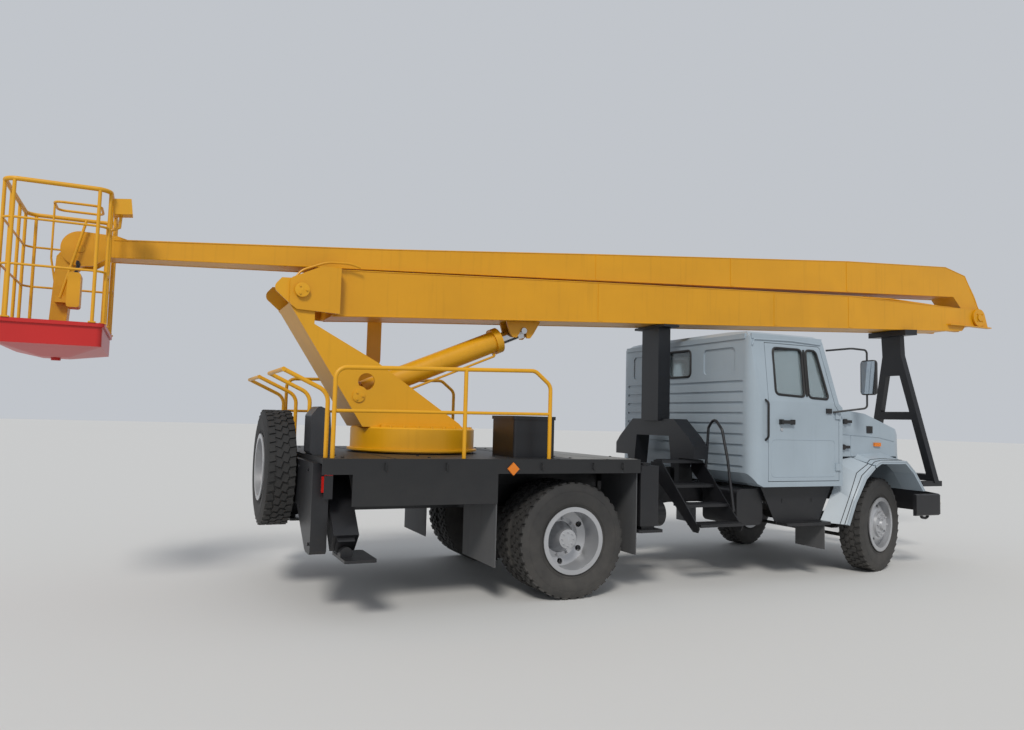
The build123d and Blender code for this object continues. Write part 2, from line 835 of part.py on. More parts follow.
# Doors, their panes and their mirrors, hung on outside hinges at the front edge.
hinge_x = door_front_x
hinge_radius = 11.0
hinge_y = cab_half + hinge_radius + run_gap
for side, sign in (("left", 1), ("right", -1)):
    with BuildPart() as cab_door:
        add(cab_outer)
        add(cab_inner, mode=Mode.SUBTRACT)
        add(door_prism(sign, door_gap), mode=Mode.INTERSECT)
        add(window_prism(sign, 0), mode=Mode.SUBTRACT)
        with BuildSketch(side_plane(sign * (cab_half - 2))):
            with Locations((door_rear_x + 230, cab_belt_z - 205)):
                RectangleRounded(170, 32, 14)
        extrude(amount=-sign * 34)
        for z in (cab_sill_z + 160, cab_belt_z - 160):
            with BuildSketch(level_plane(z)):
                with Locations((hinge_x, sign * hinge_y)):
                    Circle(hinge_radius)
                with Locations((hinge_x - 30, sign * (hinge_y - 3))):
                    Rectangle(60, 16)
                with Locations((hinge_x - 35, sign * (cab_half - 3))):
                    Rectangle(50, 12)
            extrude(amount=70)
    cab_door.part.label = f"cab_door_{side}"
    export_step(cab_door.part, f"parts/cab_door_{side}.step")

    with BuildPart() as door_glass:
        add(pane_outer)
        add(pane_inner, mode=Mode.SUBTRACT)
        add(window_prism(sign, run_gap), mode=Mode.INTERSECT)
    door_glass.part.label = f"door_glass_{side}"
    export_step(door_glass.part, f"parts/door_glass_{side}.step")

    # A bent tube with its feet on the door carries the mirror plate.
    mirror_out = cab_half + 190
    with BuildPart() as door_mirror:
        with BuildLine() as loop:
            FilletPolyline(
                point(hinge_x - 120, sign * (cab_half - 58), roof_edge_z - 85),
                point(hinge_x - 30, sign * mirror_out, roof_edge_z - 75),
                point(hinge_x + 190, sign * mirror_out, roof_edge_z - 80),
                point(hinge_x + 190, sign * mirror_out, cab_belt_z - 40),
                point(hinge_x - 90, sign * (cab_half + 9), cab_belt_z - 90),
                radius=40,
            )
        with BuildSketch(Plane(origin=loop.line @ 0, z_dir=loop.line % 0)):
            Circle(10)
        sweep(path=loop.line)
        with BuildSketch(cross_plane(hinge_x + 182)):
            with Locations((sign * (mirror_out + 20), cab_belt_z + 275)):
                RectangleRounded(190, 360, 40)
        extrude(amount=26)
    door_mirror.part.label = f"door_mirror_{side}"
    export_step(door_mirror.part, f"parts/door_mirror_{side}.step")

# What shows through the glass: seat, bench, dashboard and steering wheel.
with BuildPart() as cab_interior:
    floor_z = cab_sill_z + cab_wall
    for low_y, high_y in ((300, 860), (-900, 180)):
        with BuildSketch(side_plane(high_y)):
            with BuildLine():
                Polyline(
                    (cab_rear_x + 330, floor_z + run_gap),
                    (cab_rear_x + 850, floor_z + run_gap),
                    (cab_rear_x + 880, floor_z + 420),
                    (cab_rear_x + 480, floor_z + 400),
                    (cab_rear_x + 370, floor_z + 980),
                    (cab_rear_x + 240, floor_z + 980),
                    (cab_rear_x + 320, floor_z + 300),
                    close=True,
                )
            make_face()
            fillet(vertices().group_by(Axis.Z)[-1], 50)
        extrude(amount=high_y - low_y)
    with BuildSketch(side_plane(0)):
        with BuildLine():
            Polyline(
                (scuttle_x - cab_wall - run_gap, floor_z + 350),
                (scuttle_x - cab_wall - run_gap, cowl_z - 100),
                (scuttle_x - cab_wall - 180, cowl_z - 90),
                (scuttle_x - cab_wall - 260, cab_belt_z - 180),
                (scuttle_x - cab_wall - 160, floor_z + 350),
                close=True,
            )
        make_face()
    extrude(amount=cab_half * 0.9, both=True)
    wheel_way = Vector(-0.62, 0, 0.78)
    wheel_at = point(scuttle_x - 530, 580, cab_belt_z - 60)
    with BuildSketch(Plane(origin=wheel_at, z_dir=wheel_way)):
        Circle(22)
    extrude(amount=-520)
    with BuildSketch(Plane(origin=wheel_at, x_dir=(0, 1, 0), z_dir=(0.78, 0, 0.62))):
        with Locations((225, 0)):
            Circle(15)
    revolve(axis=Axis(wheel_at, wheel_way))
    with BuildSketch(Plane(origin=wheel_at, x_dir=(0, 1, 0), z_dir=wheel_way)):
        Rectangle(440, 34)
    extrude(amount=-12)
cab_interior.part.label = "cab_interior"
export_step(cab_interior.part, "parts/cab_interior.step")


def block(x0, x1, y0, y1, z0, z1):
    # A plain bar between two corners, added to the sub-part being built.
    with Locations(point((x0 + x1) / 2, (y0 + y1) / 2, (z0 + z1) / 2)):
        Box(x1 - x0, abs(y1 - y0), z1 - z0)


def tube(points, bend, radius, closed=False):
    # A round tube bent along its points.
    with BuildPart() as pipe:
        with BuildLine() as way:
            if len(points) > 2:
                FilletPolyline(*points, radius=bend, close=closed)
            else:
                Line(*points)
        with BuildSketch(Plane(origin=way.line @ 0, z_dir=way.line % 0)):
            Circle(radius)
        sweep(path=way.line)
    return pipe.part


def side_outline(y, corners):
    with BuildSketch(side_plane(y)) as outline:
        with BuildLine():
            Polyline(*corners, close=True)
        make_face()
    return outline.sketch


def cross_outline(x, corners):
    with BuildSketch(cross_plane(x)) as outline:
        with BuildLine():
            Polyline(*corners, close=True)
        make_face()
    return outline.sketch


def level_outline(z, corners):
    with BuildSketch(level_plane(z)) as outline:
        with BuildLine():
            Polyline(*corners, close=True)
        make_face()
    return outline.sketch


# Bonnet: roof, sides and front panel in one shell that tips forward on two lugs.
bonnet_rear_x = scuttle_x + clear
bonnet_side_z = 1230.0
bonnet_low_x = 4420.0
bonnet_low_z = 860.0
bonnet_outer = (
    (bonnet_rear_x, bonnet_side_z),
    (bonnet_rear_x, cowl_z - 5),
    (3670, 1690),
    (4200, 1530),
    (bonnet_front_x, 1470),
    (bonnet_front_x + 15, 1240),
    (bonnet_low_x, bonnet_low_z),
    (4325, 1060),
    (4225, bonnet_side_z),
)
bonnet_inner = (
    (bonnet_rear_x - 50, 800),
    (bonnet_rear_x - 50, cowl_z - 5 - bonnet_wall),
    (3668, 1690 - bonnet_wall),
    (4192, 1530 - bonnet_wall),
    (bonnet_front_x - bonnet_wall, 1462),
    (bonnet_front_x + 14 - bonnet_wall, 1237),
    (bonnet_low_x - bonnet_wall - 2, bonnet_low_z),
    (bonnet_low_x - bonnet_wall - 2, 800),
)
flare_seam = (
    ((3460, 1235), (3608, 1122)),
    ((3600, 1143), (3612, 1118)),
)
bonnet_flare_inner = (
    flare_seam[0][0],
    (3500, 1290),
    (3980, 1290),
    (4120, 1230),
    (4260, 1060),
    (4400, 865),
    (4330, 865),
    (4180, 1060),
    (4060, 1160),
    (3690, 1160),
    flare_seam[0][1],
)
bonnet_flare_outer = (
    flare_seam[1][0],
    (3640, 1168),
    (3685, 1186),
    (4070, 1186),
    (4200, 1075),
    (4355, 869),
    (4330, 865),
    (4180, 1060),
    (4060, 1160),
    (3690, 1160),
    flare_seam[1][1],
)
rest_low_z = 905.0
lug_y = 310.0
lug_thick = 20.0
hinge_pin_radius = 12.0
with BuildPart() as bonnet:
    extrude(side_outline(0, bonnet_outer), amount=bonnet_half, both=True)
    taper = (
        (bonnet_rear_x, -bonnet_half),
        (bonnet_front_x - 90, -bonnet_front_half - 8),
        (bonnet_front_x + 60, -bonnet_front_half + 70),
        (bonnet_low_x + 40, -bonnet_front_half + 70),
        (bonnet_low_x + 40, bonnet_front_half - 70),
        (bonnet_front_x + 60, bonnet_front_half - 70),
        (bonnet_front_x - 90, bonnet_front_half + 8),
        (bonnet_rear_x, bonnet_half),
    )
    extrude(level_outline(700, taper), amount=1200, mode=Mode.INTERSECT)
    with BuildPart(mode=Mode.SUBTRACT):
        extrude(side_outline(0, bonnet_inner), amount=bonnet_half, both=True)
        hollow = (
            (bonnet_rear_x - 60, -bonnet_half + bonnet_wall),
            (bonnet_front_x - 90, -bonnet_front_half - 8 + bonnet_wall),
            (bonnet_front_x + 50, -bonnet_front_half + 70 + bonnet_wall),
            (bonnet_low_x + 40, -bonnet_front_half + 70 + bonnet_wall),
            (bonnet_low_x + 40, bonnet_front_half - 70 - bonnet_wall),
            (bonnet_front_x + 50, bonnet_front_half - 70 - bonnet_wall),
            (bonnet_front_x - 90, bonnet_front_half + 8 - bonnet_wall),
            (bonnet_rear_x - 60, bonnet_half - bonnet_wall),
        )
        extrude(level_outline(700, hollow), amount=1200, mode=Mode.INTERSECT)
    for sign in (1, -1):
        loft(
            [
                side_outline(sign * (bonnet_front_half - 20), bonnet_flare_inner).face(),
                side_outline(sign * flare_outer_y, bonnet_flare_outer).face(),
            ],
            ruled=True,
        )
        lug = (
            (bonnet_low_x - 60, bonnet_low_z + 40),
            (bonnet_low_x - 8, bonnet_low_z + 10),
            (bonnet_hinge_x, bonnet_hinge_z + 30),
            (bonnet_hinge_x + 30, bonnet_hinge_z),
            (bonnet_hinge_x, bonnet_hinge_z - 30),
            (bonnet_low_x - 50, bonnet_low_z - 40),
        )
        extrude(side_outline(sign * lug_y, lug), amount=lug_thick / 2, both=True)
        with BuildSketch(side_plane(sign * lug_y)):
            with Locations((bonnet_hinge_x, bonnet_hinge_z)):
                Circle(hinge_pin_radius + run_gap)
        extrude(amount=lug_thick, both=True, mode=Mode.SUBTRACT)
        with BuildSketch(level_plane(bonnet_low_z - 10)):
            with Locations((bonnet_low_x - 20, sign * (rail_outer_y - 4))):
                Rectangle(200, 176)
        extrude(amount=frame_top_z + clear + 10 - bonnet_low_z, mode=Mode.SUBTRACT)
bonnet.part.label = "bonnet"
export_step(bonnet.part, "parts/bonnet.step")

# The front panel's face, from its knee down to its lower lip.
fascia_top = (bonnet_front_x + 15, 1240)
fascia_low = (bonnet_low_x, bonnet_low_z)
fascia_lean = degrees(atan2(fascia_low[0] - fascia_top[0], fascia_top[1] - fascia_low[1]))


def fascia_plane(z):
    # Sketches on it are drawn as (y, height up the slope) and extrude outward.
    across = (0, 1, 0)
    outward = (cos(radians(fascia_lean)), 0, sin(radians(fascia_lean)))
    return Plane(
        origin=point(on_line(fascia_top[::-1], fascia_low[::-1], z), 0, z),
        x_dir=across,
        z_dir=outward,
    )


with BuildPart() as grille:
    grille_face = fascia_plane(1090).offset(run_gap)
    with BuildSketch(grille_face):
        RectangleRounded(1060, 250, 20)
        RectangleRounded(1030, 220, 12, mode=Mode.SUBTRACT)
    extrude(amount=34)
    with BuildSketch(grille_face):
        with GridLocations(0, 40, 1, 5):
            Rectangle(1032, 14)
        with GridLocations(260, 0, 3, 1):
            Rectangle(18, 222)
    extrude(amount=22)
grille.part.label = "grille"
export_step(grille.part, "parts/grille.step")

with BuildPart() as headlamps:
    for sign in (1, -1):
        lamp_face = fascia_plane(1090).offset(run_gap)
        with BuildSketch(lamp_face):
            with Locations((sign * 720, 0)):
                RectangleRounded(300, 180, 24)
        extrude(amount=26)
        with BuildSketch(lamp_face.offset(26)):
            with Locations((sign * 720, 0)):
                RectangleRounded(270, 150, 20)
        extrude(amount=16, taper=25)
headlamps.part.label = "headlamps"
export_step(headlamps.part, "parts/headlamps.step")

# Rear half of each wheel arch, fixed to the cab's front wall, with the steps behind.
cab_flare_inner = (
    (3000, 550),
    (scuttle_x + run_gap, 900),
    (scuttle_x + run_gap, 1180),
    (3450, 1222),
    (3600, 1110),
    (3470, 1000),
    (3320, 760),
    (3220, 530),
)
cab_flare_outer = (
    (3195, 540),
    (3297, 773),
    (3452, 1020),
    (3585, 1134),
    (3600, 1110),
    (3470, 1000),
    (3320, 760),
    (3220, 530),
)
with BuildPart() as cab_flares:
    for sign in (1, -1):
        loft(
            [
                side_outline(sign * flare_inner_y, cab_flare_inner).face(),
                side_outline(sign * flare_outer_y, cab_flare_outer).face(),
            ],
            ruled=True,
        )
cab_flares.part.label = "cab_flares"
export_step(cab_flares.part, "parts/cab_flares.step")

step_low_z = 545.0
step_arm = 40.0
with BuildPart() as side_steps:
    for sign in (1, -1):
        panel = (
            (2200, cab_sill_z - run_gap),
            (3150, cab_sill_z - run_gap),
            (3150, 890),
            (2992, 575),
            (2390, 575),
        )
        extrude(side_outline(sign * flare_inner_y, panel), amount=sign * 8)
        with BuildSketch(level_plane(step_low_z)):
            with Locations((2690, sign * (flare_inner_y + 85))):
                RectangleRounded(590, 178, 25)
        extrude(amount=30)
        for x in (2500, 2900):
            block(
                x - step_arm / 2,
                x + step_arm / 2,
                sign * (rail_outer_y + run_gap),
                sign * (flare_inner_y + 4),
                760,
                800,
            )
side_steps.part.label = "side_steps"
export_step(side_steps.part, "parts/side_steps.step")

# Front bumper: one bent channel on two brackets, with the bonnet's hinge pins.
with BuildPart() as front_bumper:
    outside = (
        (4300, -bumper_half),
        (bumper_corner_x, -bumper_half),
        (bumper_front_x, -bumper_half + 390),
        (bumper_front_x, bumper_half - 390),
        (bumper_corner_x, bumper_half),
        (4300, bumper_half),
    )
    with BuildSketch(level_plane(bumper_low_z)):
        with BuildLine():
            Polyline(*outside, close=True)
        make_face()
        fillet(vertices().group_by(Axis.X)[-1] + vertices().group_by(Axis.X)[-2], 60)
        with BuildLine():
            Polyline(
                (4290, -bumper_half + bumper_wall),
                (bumper_corner_x - 12, -bumper_half + bumper_wall),
                (bumper_front_x - bumper_wall, -bumper_half + 403),
                (bumper_front_x - bumper_wall, bumper_half - 403),
                (bumper_corner_x - 12, bumper_half - bumper_wall),
                (4290, bumper_half - bumper_wall),
                close=True,
            )
        make_face(mode=Mode.SUBTRACT)
    extrude(amount=bumper_top_z - bumper_low_z)
    chamfer(edges().group_by(Axis.X)[-1].filter_by(Axis.Y), 14)
    for sign in (1, -1):
        block(
            frame_front_x + run_gap,
            bumper_front_x - bumper_wall + 5,
            sign * (rail_outer_y - rail_flange + 8),
            sign * (rail_outer_y - 4),
            640,
            800,
        )
        bracket_y = rail_outer_y - rail_flange - run_gap
        bracket = (
            (bonnet_hinge_x - 60, 740),
            (frame_front_x + 90, 740),
            (frame_front_x + 90, 800),
            (bonnet_hinge_x + 30, 826),
            (bonnet_hinge_x - 30, 826),
        )
        extrude(side_outline(sign * bracket_y, bracket), amount=sign * 12)
        block(
            frame_front_x + 20,
            frame_front_x + 90,
            sign * (bracket_y - 12),
            sign * (bracket_y + 12),
            690,
            790,
        )
        with BuildSketch(side_plane(sign * bracket_y)):
            with Locations((bonnet_hinge_x, bonnet_hinge_z)):
                Circle(hinge_pin_radius)
        extrude(amount=sign * 70)
front_bumper.part.label = "front_bumper"
export_step(front_bumper.part, "parts/front_bumper.step")

# Boom rest ahead of the bumper: two beams along the rails and a leaning A-frame.
rest_x = 5550.0
rest_lean = 4.0
rest_half = 467.0
rest_beam_low_z = 840.0
lower_bottom = ((-1950, 2400), (-1618, 2423), (815, 2561), (6490, 2880))
rest_top_x = rest_x - 1900 * sin(radians(rest_lean))
rest_top_z = on_line(lower_bottom[2], lower_bottom[3], rest_top_x)
rest_rise = (rest_top_z - rest_low_z) / cos(radians(rest_lean))
with BuildPart() as front_boom_rest:
    for sign in (1, -1):
        block(
            4200,
            rest_x + 110,
            sign * (rail_outer_y + run_gap),
            sign * (rail_outer_y + 70),
            rest_beam_low_z,
            rest_low_z,
        )
    rest_plane = Plane(
        origin=point(rest_x, 0, rest_low_z),
        x_dir=(0, 1, 0),
        z_dir=(cos(radians(rest_lean)), 0, sin(radians(rest_lean))),
    )
    with BuildSketch(rest_plane):
        with BuildLine():
            Polyline(
                (-rest_half - 50, -20),
                (-140, rest_rise - 330),
                (-140, rest_rise - 60),
                (140, rest_rise - 60),
                (140, rest_rise - 330),
                (rest_half + 50, -20),
                close=True,
            )
        make_face()
        for low, top in ((80, 760), (860, 1330)):
            slope = (rest_half - 90) / (rest_rise - 330)
            with BuildLine():
                Polyline(
                    (-rest_half + 50 + slope * low, low),
                    (-rest_half + 50 + slope * top, top),
                    (rest_half - 50 - slope * top, top),
                    (rest_half - 50 - slope * low, low),
                    close=True,
                )
            make_face(mode=Mode.SUBTRACT)
        with BuildLine():
            Polyline(
                (-rest_half + 75, -30),
                (-rest_half + 55, 0),
                (rest_half - 55, 0),
                (rest_half - 75, -30),
                close=True,
            )
        make_face(mode=Mode.SUBTRACT)
    extrude(amount=40, both=True)
    cradle = (
        (rest_top_x - 110, on_line(lower_bottom[2], lower_bottom[3], rest_top_x - 110)),
        (rest_top_x + 110, on_line(lower_bottom[2], lower_bottom[3], rest_top_x + 110)),
    )
    saddle = (
        (cradle[0][0], cradle[0][1] - clear),
        (cradle[1][0], cradle[1][1] - clear),
        (cradle[1][0], cradle[1][1] - clear - 70),
        (cradle[0][0], cradle[0][1] - clear - 70),
    )
    extrude(side_outline(0, saddle), amount=280, both=True)
front_boom_rest.part.label = "front_boom_rest"
export_step(front_boom_rest.part, "parts/front_boom_rest.step")

# Boom rest behind the cab: a low trestle on the frame and a column with a top plate.
rear_rest_x = 1750.0
with BuildPart() as rear_boom_rest:
    trestle = (
        (-440, frame_top_z + 150 + run_gap),
        (-480, 1175),
        (-720, 1175),
        (-720, 1300),
        (-630, 1390),
        (-380, 1580),
        (380, 1580),
        (630, 1390),
        (720, 1300),
        (720, 1175),
        (480, 1175),
        (440, frame_top_z + 150 + run_gap),
        (345, frame_top_z + 150 + run_gap),
        (300, 1400),
        (-300, 1400),
        (-345, frame_top_z + 150 + run_gap),
    )
    extrude(cross_outline(rear_rest_x - 110, trestle), amount=175)
    rest_plate_z = on_line(lower_bottom[2], lower_bottom[3], rear_rest_x - 140) - clear - 4
    block(rear_rest_x - 150, rear_rest_x + 5, -155, 155, 1560, rest_plate_z - 20)
    block(rear_rest_x - 170, rear_rest_x + 30, -280, 280, rest_plate_z - 25, rest_plate_z)
rear_boom_rest.part.label = "rear_boom_rest"
export_step(rear_boom_rest.part, "parts/rear_boom_rest.step")

# Deck: plate, side skirts, bearers, two beams on the rails and the slewing pedestal.
pedestal_top_z = drum_top_z - drum_plate - run_gap
with BuildPart() as deck:
    block(
        deck_rear_x,
        deck_front_x,
        -deck_half,
        deck_half,
        deck_top_z - deck_plate,
        deck_top_z,
    )
    skirt_side = (
        (deck_rear_x, deck_top_z - deck_plate),
        (deck_rear_x, arch_z),
        (-1950, arch_z),
        (-1950, skirt_low_z),
        (-750, skirt_low_z),
        (-750, arch_z),
        (deck_front_x, arch_z),
        (deck_front_x, deck_top_z - deck_plate),
    )
    for sign in (1, -1):
        extrude(side_outline(sign * deck_half, skirt_side), amount=sign * skirt)
        block(
            frame_rear_x,
            rear_rest_x + 100,
            sign * (rail_outer_y - rail_flange),
            sign * rail_outer_y,
            frame_top_z + run_gap,
            frame_top_z + 150,
        )
    for x in (-1840, -1300, -600, 0, 600):
        block(x - 30, x + 30, -deck_half + skirt, deck_half - skirt, arch_z, deck_top_z - deck_plate)
    with BuildSketch(level_plane(deck_top_z)):
        with Locations((slew_x, 0)):
            Circle(ring_radius)
    extrude(amount=pedestal_top_z - deck_top_z)
    with BuildSketch(level_plane(deck_top_z)):
        with Locations((slew_x, 0)):
            Circle(ring_radius + 50)
    extrude(amount=clear / 2)
deck.part.label = "deck"
export_step(deck.part, "parts/deck.step")

# Turret: drum, two side plates, the plate between them, boom pin and cylinder pin.
turret_side = (
    (-1655, drum_top_z),
    (-2330, 2475),
    (-2476, 2600),
    (-2400, 2690),
    (-2200, 2700),
    (-2110, 2620),
    (-2110, 2310),
    (-1538, 2006),
    (-745, 1477),
    (-700, drum_top_z),
)
side_window = 75.0
lift_pin_radius = 35.0
with BuildPart() as turret:
    with BuildSketch(level_plane(drum_low_z)):
        with Locations((slew_x, 0)):
            Circle(drum_radius)
    extrude(amount=drum_top_z - drum_low_z)
    chamfer(edges().group_by(Axis.Z)[-1], 12)
    with BuildSketch(level_plane(drum_low_z)):
        with Locations((slew_x, 0)):
            Circle(drum_radius - drum_wall)
    extrude(amount=drum_top_z - drum_plate - drum_low_z, mode=Mode.SUBTRACT)
    for sign in (1, -1):
        with BuildSketch(side_plane(sign * column_half)):
            with BuildLine():
                Polyline(*turret_side, close=True)
            make_face()
            fillet(vertices().group_by(Axis.X)[0], 60)
            with Locations((-1633, 1830)):
                Circle(side_window, mode=Mode.SUBTRACT)
        extrude(amount=sign * column_plate)
        with BuildSketch(side_plane(sign * column_half)):
            with Locations((lift_base_x, lift_base_z)):
                Circle(90)
        extrude(amount=sign * (column_half - 80))
        block(-1500, -850, sign * (column_half - 2), sign * (column_half + 60), drum_top_z, drum_top_z + 22)
    stand = (
        (-1470, 2070),
        (-1470, 2455),
        (-1330, 2455),
        (-1330, 2070),
        (-1380, 1920),
        (-1440, 1920),
    )
    extrude(side_outline(400, stand), amount=14)
    block(-1440, -1380, 290, 388, 1930, 1990)
    rear_plate = (
        turret_side[0],
        turret_side[1],
        (-2311, 2466),
        (-1636, drum_top_z),
    )
    extrude(side_outline(0, rear_plate), amount=column_half - column_plate, both=True)
    with BuildSketch(side_plane(0)):
        with Locations((boom_pin_x, boom_pin_z)):
            Circle(boom_pin_radius)
    extrude(amount=column_half + 50, both=True)
    with BuildSketch(side_plane(0)):
        with Locations((lift_base_x, lift_base_z)):
            Circle(lift_pin_radius)
    extrude(amount=column_half, both=True)
turret.part.label = "turret"
export_step(turret.part, "parts/turret.step")

# Lift cylinder: eye to eye at rest, the barrel's axis runs from base to boom lug.
lift_length = hypot(lift_eye_x - lift_base_x, lift_eye_z - lift_base_z)
lift_way = Vector(lift_eye_x - lift_base_x, 0, lift_eye_z - lift_base_z).normalized()
lift_base = point(lift_base_x, 0, lift_base_z)
barrel_start = 120.0
barrel_end = 1590.0
gland_radius = 128.0
with BuildPart() as lift_barrel:
    with BuildSketch(Plane(origin=lift_base + lift_way * 60, z_dir=lift_way)):
        Circle(74)
    extrude(amount=100)
    with BuildSketch(Plane(origin=lift_base + lift_way * barrel_start, z_dir=lift_way)):
        Circle(barrel_radius)
    extrude(amount=barrel_end - barrel_start)
    with BuildSketch(Plane(origin=lift_base + lift_way * (barrel_end - 70), z_dir=lift_way)):
        Circle(gland_radius)
    extrude(amount=70)
    with BuildSketch(side_plane(0)):
        with Locations((lift_base_x, lift_base_z)):
            Circle(90)
    extrude(amount=75, both=True)
    with BuildSketch(side_plane(0)):
        with Locations((lift_base_x, lift_base_z)):
            Circle(lift_pin_radius + run_gap)
    extrude(amount=90, both=True, mode=Mode.SUBTRACT)
    with BuildSketch(Plane(origin=lift_base + lift_way * 260, z_dir=lift_way)):
        Circle(rod_radius + run_gap)
    extrude(amount=barrel_end, mode=Mode.SUBTRACT)
lift_barrel.part.label = "lift_barrel"
export_step(lift_barrel.part, "parts/lift_barrel.step")

eye_pin_radius = 30.0
with BuildPart() as lift_rod:
    with BuildSketch(Plane(origin=lift_base + lift_way * 290, z_dir=lift_way)):
        Circle(rod_radius)
    extrude(amount=lift_length - 290 - 20)
    with BuildSketch(side_plane(0)):
        with Locations((lift_eye_x, lift_eye_z)):
            Circle(70)
    extrude(amount=62, both=True)
    with BuildSketch(side_plane(0)):
        with Locations((lift_eye_x, lift_eye_z)):
            Circle(eye_pin_radius)
    extrude(amount=112, both=True)
lift_rod.part.label = "lift_rod"
export_step(lift_rod.part, "parts/lift_rod.step")

# Lower boom: a tapered box with pivot cheeks behind and elbow cheeks in front.
lower_top = ((-1950, 2815), (810, 2970), (4400, 3160), (6300, 3180))
lower_box = lower_bottom + lower_top[::-1]
box_end_x = 6300.0
with BuildPart() as lower_boom:
    with BuildSketch(side_plane(0)):
        with BuildLine():
            Polyline(*lower_box, close=True)
        make_face()
    extrude(amount=lower_half, both=True)
    with BuildSketch(side_plane(0)):
        with BuildLine():
            Polyline(*lower_box, close=True)
        make_face()
        offset(amount=-lower_wall, kind=Kind.INTERSECTION, mode=Mode.REPLACE)
    extrude(amount=lower_half - lower_wall, both=True, mode=Mode.SUBTRACT)
    cut_low = on_line(lower_bottom[2], lower_bottom[3], box_end_x)
    tail = (
        (box_end_x, 2700),
        (box_end_x, 3300),
        (6600, 3300),
        (6600, 2700),
    )
    extrude(side_outline(0, tail), amount=lower_half + 10, both=True, mode=Mode.SUBTRACT)
    end_plate = (
        (box_end_x - lower_wall, cut_low + 2),
        (box_end_x - lower_wall, 3178),
        (box_end_x, 3178),
        (box_end_x, cut_low + 2),
    )
    extrude(side_outline(0, end_plate), amount=lower_half - 1, both=True)
    cheek = (
        (-2333, 2470),
        (-2333, 2690),
        (-2070, 2815),
        (-1900, 2815),
        (-1900, 2410),
        (-2270, 2425),
    )
    tip = (
        (6150, 2862),
        (6490, 2880),
        (6560, 2945),
        (7030, 2945),
        (7030, 2960),
        (6960, 3150),
        (6860, 3190),
        (6150, 3180),
    )
    lug = (
        (-190, 2512),
        (190, 2534),
        (110, 2395),
        (75, 2350),
        (-115, 2350),
        (-150, 2390),
    )
    slot = (
        (31, 2420),
        (42, 2330),
        (-84, 2330),
        (-31, 2420),
    )
    for sign in (1, -1):
        cheek_inner = column_half + cheek_gap
        with BuildSketch(side_plane(sign * cheek_inner)):
            with BuildLine():
                Polyline(*cheek, close=True)
            make_face()
            fillet(vertices().group_by(Axis.X)[0], 45)
            with Locations((boom_pin_x, boom_pin_z)):
                Circle(boom_pin_radius + run_gap, mode=Mode.SUBTRACT)
        extrude(amount=-sign * cheek_plate)
        with BuildSketch(side_plane(sign * (lower_half - cheek_plate))):
            with BuildLine():
                Polyline(*tip, close=True)
            make_face()
            with Locations((elbow_x, elbow_z)):
                Circle(elbow_pin_radius + run_gap, mode=Mode.SUBTRACT)
        extrude(amount=-sign * cheek_plate)
        flange = ((6200, 2938), (6200, 2953), (7030, 2960), (7030, 2945), (6560, 2945))
        extrude(side_outline(sign * (lower_half - 10), flange), amount=-sign * 60)
        with BuildSketch(side_plane(sign * 70)):
            with BuildLine():
                Polyline(*lug, close=True)
            make_face()
            with BuildLine():
                Polyline(*slot, close=True)
            make_face(mode=Mode.SUBTRACT)
            with Locations((lift_eye_x, lift_eye_z)):
                Circle(31, mode=Mode.SUBTRACT)
        extrude(amount=-sign * 25)
    for low, high in ((2412, 2440), (2780, 2815)):
        block(-1950, -1900, -cheek_inner - cheek_plate, cheek_inner + cheek_plate, low, high)
    for sign in (1, -1):
        block(-1950, -1915, sign * (lower_half - 5), sign * (cheek_inner + 5), 2415, 2800)
    with BuildSketch(cross_plane(4900)):
        with Locations((0, 3204)):
            Circle(33)
    extrude(amount=1000)
    for x in (4960, 5800):
        block(x, x + 40, -60, 60, 3150, 3230)
lower_boom.part.label = "lower_boom"
export_step(lower_boom.part, "parts/lower_boom.step")

# Elbow lever: a plate on each side of the elbow, joined by the pin both booms turn on.
lever_inner = lower_half + cheek_gap
with BuildPart() as elbow_lever:
    with BuildSketch(side_plane(0)):
        with Locations((elbow_x, elbow_z)):
            Circle(elbow_pin_radius)
    extrude(amount=lever_inner + elbow_disc + 6, both=True)
    for sign in (1, -1):
        with BuildSketch(side_plane(sign * lever_inner)):
            with Locations((elbow_x, elbow_z)):
                Circle(elbow_disc_radius)
        extrude(amount=-sign * elbow_disc)
elbow_lever.part.label = "elbow_lever"
export_step(elbow_lever.part, "parts/elbow_lever.step")

